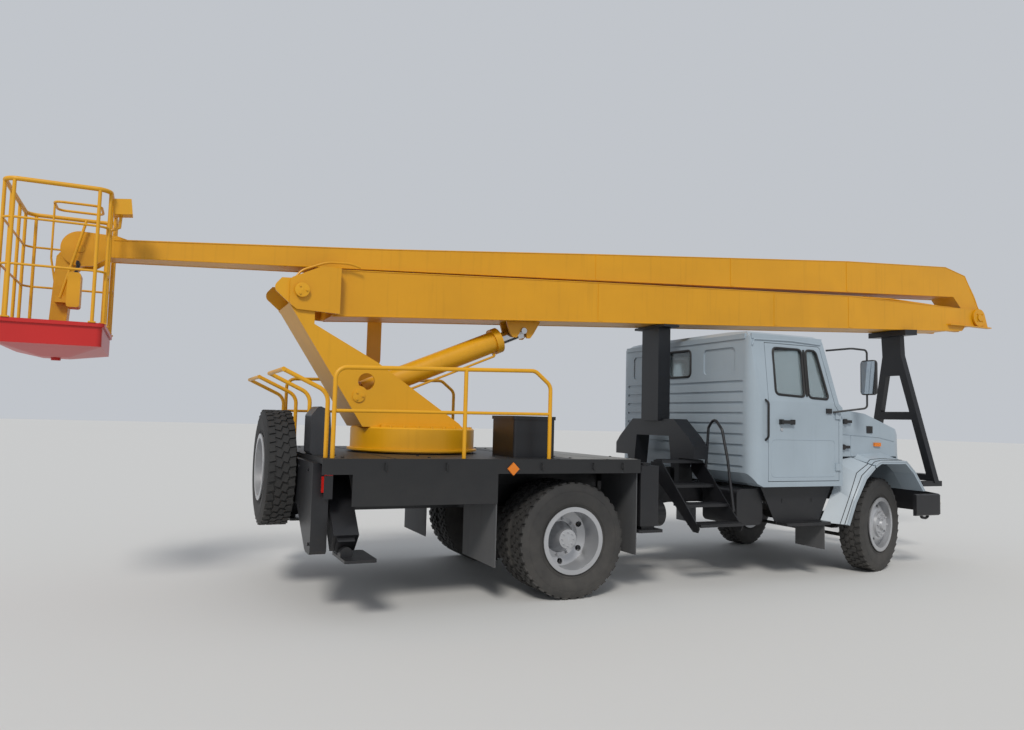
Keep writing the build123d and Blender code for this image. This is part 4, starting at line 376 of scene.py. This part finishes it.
# The blocks are flat, so they sink a little to keep their corners within the tyre's radius.
LUG_SINK = 0.0022
LUG_ROWS = (
    # offset along the axle, width, length round the tyre, lean, share of a pitch that it comes late
    (-0.083, 0.052, 0.052, 0.22, 0.0),
    (-0.022, 0.046, 0.060, -0.35, 0.5),
    (0.030, 0.046, 0.060, -0.35, 0.0),
    (0.083, 0.052, 0.052, 0.22, 0.5),
)
HALF_CARCASS = (
    # distance from the tyre's middle, radius
    (0.094, BEAD_RADIUS),
    (0.108, 0.290),
    (0.121, 0.340),
    (0.1265, 0.390),
    (0.1245, 0.432),
    (0.119, 0.464),
    (0.110, GROOVE_RADIUS),
)
CARCASS = [(-offset, radius) for offset, radius in HALF_CARCASS] + list(reversed(HALF_CARCASS))
SIDEWALL_RIDGES = (
    # distance from the tyre's middle, radius
    (0.1175, 0.318),
    (0.1255, 0.425),
)
TURNED_STEPS = 64


def tyre(shape, centre, axis):
    axis = axis.normalized()
    shape.lathe(centre, axis, CARCASS, TURNED_STEPS)
    for offset, radius in SIDEWALL_RIDGES:
        for sign in SIDES:
            ridge = sign * offset
            profile = [
                (ridge - sign * 0.004, radius - 0.004),
                (ridge + sign * 0.001, radius - 0.002),
                (ridge + sign * 0.001, radius + 0.002),
                (ridge - sign * 0.004, radius + 0.004),
            ]
            shape.lathe(centre, axis, profile, TURNED_STEPS)
    side = axis.orthogonal().normalized()
    across = axis.cross(side)
    lug_radius = TYRE_RADIUS - TREAD_DEPTH / 2 - LUG_SINK
    for lug in range(LUGS):
        for offset, width, length, lean, late in LUG_ROWS:
            angle = 2 * pi * (lug + late) / LUGS
            out = side * cos(angle) + across * sin(angle)
            along = axis.cross(out)
            turn = Matrix((along, axis, out)).transposed() @ Matrix.Rotation(lean, 3, "Z")
            shape.box(centre + axis * offset + out * lug_radius, (length, width, TREAD_DEPTH), turn)


# Rings of nuts: count, radius of the ring, distance out from the wheel's middle, radius of a nut.
FRONT_NUTS = ((8, 0.104, 0.127, 0.013),)
REAR_NUTS = ((10, 0.158, 0.013, 0.014), (8, 0.058, 0.164, 0.009))
WHEELS = (
    # body, tyre node, joint, tyre middles from the joint, outward sign, rings of nuts
    ("wheel_front_left", "front_tyre_left", "spin_front_left", (0,), 1, FRONT_NUTS),
    ("wheel_front_right", "front_tyre_right", "spin_front_right", (0,), -1, FRONT_NUTS),
    ("wheels_rear_left", "rear_tyres_left", "spin_rear_left", (-0.145, 0.145), 1, REAR_NUTS),
    ("wheels_rear_right", "rear_tyres_right", "spin_rear_right", (-0.145, 0.145), -1, REAR_NUTS),
)
for body, node, joint, middles, _, _ in WHEELS:
    axis = Vector(joints[joint]["axis"])
    centre = Vector(joints[joint]["pos_m"])
    rubber = Shape()
    for middle in middles:
        tyre(rubber, centre + axis * middle, axis)
    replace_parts(rubber.piece(f"{node}_treaded", "tyre", body), node)
spare_low, spare_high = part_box("spare_tyre")
spare_middle = (spare_low + spare_high) / 2
rubber = Shape()
tyre(rubber, spare_middle, Vector((1, 0, 0)))
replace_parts(rubber.piece("spare_tyre_treaded", "tyre", "chassis"), "spare_tyre")

# Windows: rubber seals round the openings, whose corners are those of the CAD source.
SEAL_RADIUS = 0.013
SCREEN_SEAL_RADIUS = 0.016
WIPER_RADIUS = 0.007
DOOR_WINDOWS = (
    ((2.295, 1.85), (2.68, 1.835), (2.68, 2.32), (2.295, 2.32)),
    ((2.735, 1.83), (3.010, 1.82), (2.878, 2.32), (2.735, 2.32)),
)
DOOR_WINDOW_BAR_X = 2.708
SCREEN = ((-1.05, 1.82), (1.05, 1.82), (0.98, 2.38), (-0.98, 2.38))
REAR_WINDOW = ((-0.2, 2.05), (0.2, 2.05), (0.2, 2.34), (-0.2, 2.34))


def cab_side(x, z, sign, proud):
    # A point on the cab's outer side, which leans in above the belt.
    lean = max(0.0, z - CAB_BELT_Z) / (ROOF_EDGE_Z - CAB_BELT_Z) * TUMBLEHOME
    return at(x, sign * (CAB_HALF - lean + proud), z)


def on_screen(y, z, proud=0.0):
    # A point on the windscreen, which leans back.
    share = (z - SCREEN_LOW_Z) / (SCREEN_HIGH_Z - SCREEN_LOW_Z)
    return at(SCREEN_LOW_X + (SCREEN_HIGH_X - SCREEN_LOW_X) * share + proud, y, z)


for side, sign in SIDE_NAMES:
    rubber = Shape()
    for window in DOOR_WINDOWS:
        corners = [cab_side(x, z, sign, 0.0) for x, z in window]
        rubber.pipe(rounded(corners, 0.05), SEAL_RADIUS, closed=True)
    rubber.pipe([cab_side(DOOR_WINDOW_BAR_X, z, sign, 0.002) for z in (1.84, 2.32)], 0.012)
    rubber.piece(f"door_seals_{side}", "seal", f"door_{side}")
rubber = Shape()
rubber.pipe(rounded([on_screen(y, z) for y, z in SCREEN], 0.07), SCREEN_SEAL_RADIUS, closed=True)
rubber.pipe(rounded([at(CAB_REAR_X, y, z) for y, z in REAR_WINDOW], 0.055), SEAL_RADIUS, closed=True)
for y in (-0.62, 0.18):
    foot = on_screen(y, 1.815, 0.012)
    elbow = on_screen(y + 0.30, 1.90, 0.022)
    rubber.pipe([foot, elbow, on_screen(y + 0.46, 2.12, 0.020)], WIPER_RADIUS)
rubber.piece("screen_seals_and_wipers", "seal", "chassis")


# Wheel nuts and hub bolts, on the outer side of every wheel, and the clamp of the spare wheel.
def nut_ring(shape, centre, outward, count, circle, face, size):
    side = outward.orthogonal().normalized()
    across = outward.cross(side)
    for nut in range(count):
        angle = 2 * pi * nut / count
        spot = centre + outward * face + (side * cos(angle) + across * sin(angle)) * circle
        shape.rod(spot, spot + outward * size * 1.3, size, 6)
        shape.rod(spot + outward * size * 1.2, spot + outward * size * 2.1, size * 0.5, 8)


for body, _, joint, _, sign, rings in WHEELS:
    outward = Vector(joints[joint]["axis"]) * sign
    centre = Vector(joints[joint]["pos_m"])
    steel = Shape()
    for ring in rings:
        nut_ring(steel, centre, outward, *ring)
    steel.piece(f"{body}_nuts", "silver", body)
steel = Shape()
nut_ring(steel, spare_middle, Vector((-1, 0, 0)), 4, 0.12, 0.026, 0.014)
for bar in ((0.018, 0.06, 0.34), (0.018, 0.34, 0.06)):
    steel.box(spare_middle + Vector((-0.034, 0, 0)), bar)
steel.rod(spare_middle + Vector((-0.05, 0, 0)), spare_middle + Vector((0.127, 0, 0)), 0.03, 16)
steel.piece("spare_wheel_clamp", "black", "chassis")

# Cab trim: rain gutters and roof edges, mirror glass, locks, door handles, door creases and grab bars.
GUTTER = ((2.03, 2.33), (2.06, 2.395), (2.55, 2.405), (2.95, 2.39))
ROOF_STRIP_Z = 2.425
DOOR_FITTINGS = (
    # x, z, proud of the skin, size: the handle, its two feet and the mirror arm's foot
    (2.42, 1.575, 0.034, (0.176, 0.014, 0.036)),
    (2.345, 1.575, 0.012, (0.03, 0.05, 0.05)),
    (2.495, 1.575, 0.012, (0.03, 0.05, 0.05)),
    (3.0, 1.70, 0.006, (0.07, 0.02, 0.05)),
)
DOOR_CREASE = ((2.23, 1.40), (3.09, 1.40), (3.09, 1.03), (2.23, 1.03))
GRAB_BAR = ((1.178, 1.79), (1.222, 1.76), (1.222, 1.42), (1.178, 1.39))
trim = Shape()
for sign in SIDES:
    trim.pipe([cab_side(x, z, sign, 0.006) for x, z in GUTTER], 0.009)
for sign in SIDES:
    trim.box(cab_side(2.50, ROOF_STRIP_Z, sign, -0.001), (0.94, 0.022, 0.05))
rear_strip_width = 2 * (CAB_HALF - TUMBLEHOME) - 0.1
trim.box(at(CAB_REAR_X + 0.001, 0, ROOF_STRIP_Z), (0.022, rear_strip_width, 0.05))
trim.piece("cab_gutters", "cab", "chassis")
for side, sign in SIDE_NAMES:
    glass = Shape()
    glass.box(at(3.3305, sign * 1.39, 2.055), (0.003, 0.165, 0.335))
    glass.piece(f"mirror_glass_{side}", "mirror", f"door_{side}")
    lock = Shape()
    spot = cab_side(2.36, 1.50, sign, 0.0)
    lock.rod(spot, spot + Vector((0, sign * 0.008, 0)), 0.016, 16)
    lock.piece(f"door_lock_{side}", "chrome", f"door_{side}")
for side, sign in SIDE_NAMES:
    grips = Shape()
    for x, z, proud, size in DOOR_FITTINGS:
        grips.box(cab_side(x, z, sign, proud), size)
    grips.piece(f"door_grips_{side}", "seal", f"door_{side}")
    creases = Shape()
    corners = [cab_side(x, z, sign, -0.002) for x, z in DOOR_CREASE]
    creases.pipe(rounded(corners, 0.05), 0.006, 6, closed=True)
    creases.piece(f"door_creases_{side}", "cab", f"door_{side}")
grab = Shape()
for sign in SIDES:
    grab.pipe(bent([at(2.155, sign * y, z) for y, z in GRAB_BAR], 0.02), 0.011)
grab.piece("cab_grab_bars", "seal", "chassis")

# Bonnet: side latches, seam beads and repeater lamps.
BONNET_REAR_X, BONNET_FRONT_X = 3.206, 4.18
BONNET_HALF = 1.09
BONNET_TAPER = 0.072
LATCHES = ((3.30, 1.33), (3.33, 1.60))
BONNET_SEAMS = (
    # bead radius, points
    (0.006, ((3.215, 1.47), (3.9, 1.44), (4.16, 1.40))),
    (0.005, ((3.44, 1.24), (3.44, 1.46))),
)


def bonnet_side(x, z, sign, proud):
    # A point on the bonnet's side, which draws in towards the front.
    share = (x - BONNET_REAR_X) / (BONNET_FRONT_X - BONNET_REAR_X)
    return at(x, sign * (BONNET_HALF - BONNET_TAPER * share + proud), z)


latches = Shape()
repeaters = Shape()
seams = Shape()
for sign in SIDES:
    for x, z in LATCHES:
        foot = bonnet_side(x, z, sign, 0.0)
        latches.rod(foot, foot + Vector((0, sign * 0.03, 0)), 0.028, 16)
        latches.box(foot + Vector((0.045, sign * 0.016, 0)), (0.10, 0.016, 0.03))
    repeaters.box(bonnet_side(3.86, 1.36, sign, 0.008), (0.10, 0.024, 0.04))
    latches.box(bonnet_side(3.74, 1.52, sign, 0.003), (0.09, 0.012, 0.075))
    for radius, line in BONNET_SEAMS:
        seams.pipe([bonnet_side(x, z, sign, 0.001) for x, z in line], radius, 6)
seams.piece("bonnet_seams", "cab", "bonnet_body")
latches.piece("bonnet_latches", "seal", "bonnet_body")
repeaters.piece("bonnet_repeaters", "amber", "bonnet_body")

# Flares: two flute grooves, drawn as near-black beads that paint the shade in them, and a rolled edge
# along the arch. Each pair of points goes from root to edge.
FLARE_EDGE_Y = 1.25
CAB_FLARE = (
    ((3.000, 0.550), (3.195, 0.540)),
    ((3.200, 0.900), (3.297, 0.773)),
    ((3.200, 1.180), (3.452, 1.020)),
    ((3.450, 1.222), (3.585, 1.134)),
)
BONNET_FLARE = (
    ((3.460, 1.235), (3.600, 1.143)),
    ((3.500, 1.290), (3.640, 1.168)),
    ((3.980, 1.290), (3.685, 1.186)),
    ((4.120, 1.230), (4.070, 1.186)),
    ((4.260, 1.060), (4.200, 1.075)),
    ((4.400, 0.865), (4.355, 0.869)),
)
FLARES = (
    # name, points, y of the root, body
    ("cab", CAB_FLARE, 1.06, "chassis"),
    ("bonnet", BONNET_FLARE, 0.99, "bonnet_body"),
)
for name, flare, root_y, body in FLARES:
    flute_shade = Shape()
    edges = Shape()
    for sign in SIDES:
        # shape, share of the way from root to edge, bead radius
        for shape, share, radius in ((flute_shade, 0.72, 0.004), (flute_shade, 0.88, 0.004), (edges, 0.99, 0.009)):
            y = sign * (root_y + (FLARE_EDGE_Y - root_y) * share)
            line = [
                at(root_x + (edge_x - root_x) * share, y, root_z + (edge_z - root_z) * share)
                for (root_x, root_z), (edge_x, edge_z) in flare
            ]
            shape.pipe(line, radius, 6)
    # The flute beads take the black seal colour: painted shade in the grooves, not the flare's own grey.
    flute_shade.piece(f"{name}_flare_flute_shade", "seal", body)
    edges.piece(f"{name}_flare_edges", "flare", body)

# Deck: marker lamps, rope hooks along the edge, seams and screws of the plates, and one worn plate.
HOOK_DROP = Vector((0, 0, -0.05))
markers = Shape()
hooks = Shape()
for sign in SIDES:
    spot = at(-0.62, sign * (DECK_HALF + 0.008), 1.12)
    markers.box(spot, (0.075, 0.016, 0.075), Matrix.Rotation(pi / 4, 3, "Y"))
    for x in (-1.7, -1.2, -0.35, 0.15, 0.45):
        start = at(x, sign * DECK_HALF, 1.165)
        tip = start + Vector((0, sign * 0.0192, 0))
        back = start + Vector((0, sign * 0.0024, 0))
        hooks.pipe([start, tip, tip + HOOK_DROP, back + HOOK_DROP], 0.006)
markers.piece("deck_markers", "amber", "chassis")
for x in (-1.62, -0.18, 0.3):
    hooks.box(at(x, 0, DECK_TOP_Z + 0.001), (0.012, DECK_HALF * 1.98, 0.004))
for x in (-2.0, -1.3, -0.6, 0.0, 0.6):
    for y in (-1.1, -0.8, 0.8, 1.1):
        hooks.rod(at(x, y, DECK_TOP_Z), at(x, y, DECK_TOP_Z + 0.008), 0.013, 8)
hooks.piece("deck_hooks_and_seams", "deck", "chassis")
worn = Shape()
worn.box(at(0.30, 0, DECK_TOP_Z + 0.001), (0.64, DECK_HALF * 1.96, 0.003))
worn.piece("deck_worn_plate", "worn", "chassis")

# Turret: bolts on the drum's top plate, covers on the pins, and the drum's lower flange.
RING_BOLTS = 28
RING_BOLT_CIRCLE = 0.545
DRUM_TOP_Z = 1.43
CHEEK_CLEAR_Y = 0.36
CHEEK_CLEAR_X = -0.68
PIN_COVERS = (
    # x, y, z, radius
    (-2.235, 0.350, 2.59, 0.062),
    (-1.7, 0.302, 1.7, 0.055),
)
bolts = Shape()
for bolt in range(RING_BOLTS):
    angle = 2 * pi * bolt / RING_BOLTS
    spot = at(SLEW_X + RING_BOLT_CIRCLE * cos(angle), RING_BOLT_CIRCLE * sin(angle), DRUM_TOP_Z)
    if abs(spot.y) > CHEEK_CLEAR_Y or spot.x > REAR_AXLE_X + CHEEK_CLEAR_X:
        bolts.rod(spot, spot + UP * 0.014, 0.014, 6)
for x, y, z, radius in PIN_COVERS:
    for sign in SIDES:
        face = at(x, sign * y, z)
        out = Vector((0, sign, 0))
        bolts.lathe(face, out, [(0, 1e-4), (0, radius), (0.01, radius), (0.014, 1e-4)], 24)
        for bolt in range(3):
            angle = 2 * pi * bolt / 3
            spot = face + Vector((cos(angle), 0, sin(angle))) * radius * 0.6
            bolts.rod(spot, spot + out * 0.022, 0.009, 6)
bolts.piece("turret_bolts", "yellow", "turret_body")
flange_inner = DRUM_RADIUS + 0.002
flange_outer = DRUM_RADIUS + 0.028
flange = Shape()
flange.lathe(
    at(SLEW_X, 0, 1.222),
    UP,
    [(0, flange_inner), (0, flange_outer), (0.016, flange_outer), (0.02, flange_inner)],
    72,
)
flange.piece("drum_flange", "yellow", "turret_body")

# Booms: weld beads along the box corners, stiffener straps, hoses and pin caps.
BEAD_SIZE = 0.006
LOWER_BOOM_Y = 0.2195
UPPER_BOOM_Y = 0.164
LOWER_EDGES = (
    ((-1.94, 2.401), (-1.618, 2.423), (0.815, 2.561), (6.15, 2.861)),
    ((-1.94, 2.815), (0.81, 2.97), (4.4, 3.16), (6.29, 3.18)),
)
UPPER_EDGES = (
    # x, z, y: the box narrows towards the basket
    (
        (-3.7, 2.747, 0.12),
        (-2.24, 2.829, 0.148),
        (-1.44, 2.874, UPPER_BOOM_Y),
        (4.43, 3.223, UPPER_BOOM_Y),
        (6.4, 3.345, UPPER_BOOM_Y),
    ),
    (
        (-3.7, 2.887, 0.12),
        (-1.44, 3.066, UPPER_BOOM_Y),
        (0.81, 3.279, UPPER_BOOM_Y),
        (4.43, 3.607, UPPER_BOOM_Y),
        (6.25, 3.729, UPPER_BOOM_Y),
        (6.64, 3.649, UPPER_BOOM_Y),
        (6.96, 3.15, UPPER_BOOM_Y),
    ),
)
# Straps: x, lower edge, upper edge.
LOWER_STRAPS = ((0.815, 2.561, 2.97), (3.2, 2.695, 3.097), (4.4, 2.762, 3.16))
UPPER_STRAPS = ((0.81, 3.0, 3.28), (2.6, 3.11, 3.443), (4.43, 3.223, 3.608))
FOOT_PIPE = ((-2.33, 2.63), (-2.24, 2.77), (-2.02, 2.862), (-1.82, 2.872), (-1.72, 2.845))
ELBOW_HOSE = ((6.55, 3.668), (6.70, 3.665), (6.90, 3.40), (7.0, 3.2))


def straps(shape, rows, y):
    for x, low, high in rows:
        for sign in SIDES:
            shape.box(at(x, sign * y, (low + high) / 2), (0.05, 0.006, high - low - 0.02))


beads = Shape()
for edge in LOWER_EDGES:
    for sign in SIDES:
        beads.pipe([at(x, sign * LOWER_BOOM_Y, z) for x, z in edge], BEAD_SIZE, 6)
straps(beads, LOWER_STRAPS, LOWER_BOOM_Y + 0.002)
beads.pipe(bent([at(x, -0.285, z) for x, z in FOOT_PIPE], 0.05), 0.010)
for y in (-0.13, 0.02):
    hose = [at(4.5, y, 3.178), at(5.2, y - 0.02, 3.206), at(6.0, y, 3.20), at(6.26, y, 3.192)]
    beads.pipe(bent(hose, 0.1), 0.011)
beads.piece("lower_boom_beads", "boom", "lower_boom_body")
caps = Shape()
for sign in SIDES:
    face = at(6.81, sign * 0.258, 3.08)
    out = Vector((0, sign, 0))
    caps.lathe(face, out, [(0, 1e-4), (0, 0.045), (0.008, 0.045), (0.012, 1e-4)], 20)
    nut_ring(caps, face - out * 0.008, out, 4, 0.066, 0.002, 0.008)
caps.piece("elbow_caps", "boom", "elbow_body")
rod = Shape()
rod.rod(at(5.9, 0, 3.204), at(6.27, 0, 3.198), 0.018, 16)
rod.piece("fold_cylinder_rod", "chrome", "lower_boom_body")
beads = Shape()
for edge in UPPER_EDGES:
    for sign in SIDES:
        beads.pipe([at(x, sign * y, z) for x, z, y in edge], BEAD_SIZE, 6)
straps(beads, UPPER_STRAPS, UPPER_BOOM_Y + 0.0025)
for y in (-0.11, -0.06):
    beads.pipe(bent([at(x, y, z) for x, z in ELBOW_HOSE], 0.06), 0.010)
beads.piece("upper_boom_beads", "boom", "upper_boom_body")

# Lift cylinder: a feed pipe below the barrel, held by two stubs.
LIFT_ANGLE = radians(22.954)
LIFT_FOOT_X, LIFT_FOOT_Z = -1.7, 1.7
FEED_BELOW = 0.135


def under_lift(along, below):
    # A point along the barrel from its foot, and below its middle line.
    x = LIFT_FOOT_X + along * cos(LIFT_ANGLE) + below * sin(LIFT_ANGLE)
    z = LIFT_FOOT_Z + along * sin(LIFT_ANGLE) - below * cos(LIFT_ANGLE)
    return at(x, -0.03, z)


feed = Shape()
feed_ends = (0.30, 1.48)
feed.pipe([under_lift(along, FEED_BELOW) for along in feed_ends], 0.011)
for along in feed_ends:
    feed.rod(under_lift(along, FEED_BELOW), under_lift(along, FEED_BELOW - 0.03), 0.016, 8)
feed.piece("lift_feed_pipe", "yellow", "lift_barrel_body")

# Basket: levers on the control box, a floor mat, feet of the posts and a hooded lamp.
POST_FEET = (
    # x, y
    (-4.403, 0.2),
    (-4.403, 0.513),
    (-3.717, 0.27),
    (-3.717, 0.513),
    (-4.333, 0.583),
    (-3.787, 0.583),
)
LAMP_Y = -0.42
fittings = Shape()
for lever in range(4):
    foot = at(-3.945, -0.155 - lever * 0.04, 2.565)
    knob = foot + Vector((0.012, 0, 0.07))
    fittings.rod(foot, knob, 0.005, 8)
    fittings.rod(knob, foot + Vector((0.016, 0, 0.10)), 0.011, 10)
fittings.box(at(-4.27, 0, 2.024), (0.26, 1.05, 0.006))
fittings.piece("basket_fittings", "black", "basket")
feet = Shape()
for x, y in POST_FEET:
    for sign in SIDES:
        feet.box(at(x, sign * y, 2.166), (0.05, 0.05, 0.01))
feet.pipe([at(-3.717, LAMP_Y, 2.895), at(-3.65, LAMP_Y, 2.93), at(-3.645, LAMP_Y, 3.03)], 0.012)
feet.box(at(-3.635, LAMP_Y, 3.085), (0.13, 0.12, 0.12), Matrix.Rotation(-0.12, 3, "Y"))
feet.piece("basket_post_feet_and_lamp", "yellow", "basket")

# Bumper lamps, tow hooks, side plates of the tail lamps, and the bolts of the rests and outriggers.
TOW_HOOK = ((4.62, 0.60), (4.62, 0.545), (4.70, 0.535), (4.73, 0.56))
FRONT_REST_BOLTS = (4.3, 4.7, 5.3)
REAR_REST_BOLTS = ((0.72, 1.04), (0.84, 1.04), (0.72, 0.85), (0.84, 0.85))
OUTRIGGER_BOLTS = ((0.55, 1.10), (0.95, 1.10), (0.62, 0.78), (1.08, 0.55))
BOLT_HEIGHT = 0.012
lamps = Shape()
for sign in SIDES:
    lamps.rod(at(4.705, sign * 1.12, 0.73), at(4.735, sign * 1.118, 0.73), 0.045, 20)
lamps.piece("bumper_lamps", "white", "chassis")
ironwork = Shape()
for sign in SIDES:
    sideways = Vector((0, sign * BOLT_HEIGHT, 0))
    rearward = Vector((-BOLT_HEIGHT, 0, 0))
    ironwork.pipe(bent([at(x, sign * 1.0, z) for x, z in TOW_HOOK], 0.02), 0.016)
    ironwork.box(at(-2.1275, sign * 1.2365, 0.985), (0.066, 0.004, 0.172))
    for x in FRONT_REST_BOLTS:
        spot = at(x, sign * 0.502, 0.872)
        ironwork.rod(spot, spot + sideways, 0.014, 6)
    for x, z in REAR_REST_BOLTS:
        spot = at(x, sign * 0.452, z)
        ironwork.rod(spot, spot + sideways, 0.013, 6)
    for y, z in OUTRIGGER_BOLTS:
        spot = at(-2.225, sign * y, z)
        ironwork.rod(spot, spot + rearward, 0.014, 6)
    ironwork.rod(at(0.78, sign * 1.1, 1.14), at(0.78, sign * 1.1, 1.165), 0.05, 16)
ironwork.piece("ironwork_bolts", "black", "chassis")

# Stairs: raised bars on the treads, given by each tread's middle.
TREADS = ((-0.72, 0.93), (-0.93, 0.76), (-1.15, 0.60), (-0.565, 1.16))
BARS = 4
BAR_PITCH = 0.036
bars = Shape()
for y, z in TREADS:
    for row in range(BARS):
        bars.box(at(1.57, y - 0.055 + row * BAR_PITCH, z + 0.003), (0.48, 0.008, 0.008))
bars.piece("tread_bars", "black", "chassis")

# Light, floor and camera.
FLOOR_HALF = 120.0
floor_mesh = bpy.data.meshes.new("studio_floor")
floor_corners = [(x * FLOOR_HALF, y * FLOOR_HALF, 0) for x, y in ((-1, -1), (1, -1), (1, 1), (-1, 1))]
floor_mesh.from_pydata(floor_corners, [], [(0, 1, 2, 3)])
floor = bpy.data.objects.new("studio_floor", floor_mesh)
bpy.context.scene.collection.objects.link(floor)
floor_look = bpy.data.materials.new("studio_floor")
floor_look.use_nodes = True
floor_shader = floor_look.node_tree.nodes["Principled BSDF"]
floor_shader.inputs["Base Color"].default_value = (0.62, 0.62, 0.61, 1)
floor_shader.inputs["Roughness"].default_value = 0.9
floor_mesh.materials.append(floor_look)

world = bpy.data.worlds.new("studio")
bpy.context.scene.world = world
world.use_nodes = True
sky = world.node_tree.nodes["Background"]
sky.inputs["Color"].default_value = (0.86, 0.90, 0.96, 1)
sky.inputs["Strength"].default_value = 0.62
bpy.context.scene.view_settings.view_transform = "Standard"

sun_data = bpy.data.lights.new("key_sun", "SUN")
sun_data.energy = 1.9
sun_data.angle = radians(14)
sun_data.color = (1.0, 0.96, 0.90)
sun = bpy.data.objects.new("key_sun", sun_data)
sun.rotation_euler = (radians(48), 0, radians(-32))
bpy.context.scene.collection.objects.link(sun)

# The camera as fitted to the photo: its place from the rear axle, its angles in radians and its lens.
CAMERA_FROM_AXLE = (-3.347, -7.071, 1.516)
CAMERA_TURN = 0.4334
CAMERA_PITCH = 0.0720
CAMERA_ROLL = 0.0259
FOCAL_PIXELS = 773.3
IMAGE_WIDTH = 1024
SENSOR_MM = 36.0
ahead = Vector(
    (
        sin(CAMERA_TURN) * cos(CAMERA_PITCH),
        cos(CAMERA_TURN) * cos(CAMERA_PITCH),
        sin(CAMERA_PITCH),
    )
)
level_right = Vector((cos(CAMERA_TURN), -sin(CAMERA_TURN), 0))
level_up = level_right.cross(ahead)
right = level_right * cos(CAMERA_ROLL) + level_up * sin(CAMERA_ROLL)
top = level_up * cos(CAMERA_ROLL) - level_right * sin(CAMERA_ROLL)
camera_data = bpy.data.cameras.new("photo_camera")
camera_data.sensor_width = SENSOR_MM
camera_data.lens = FOCAL_PIXELS / IMAGE_WIDTH * SENSOR_MM
camera = bpy.data.objects.new("photo_camera", camera_data)
facing = Matrix((right, top, -ahead)).transposed().to_4x4()
camera.matrix_world = Matrix.Translation(at(*CAMERA_FROM_AXLE)) @ facing
bpy.context.scene.collection.objects.link(camera)
bpy.context.scene.camera = camera
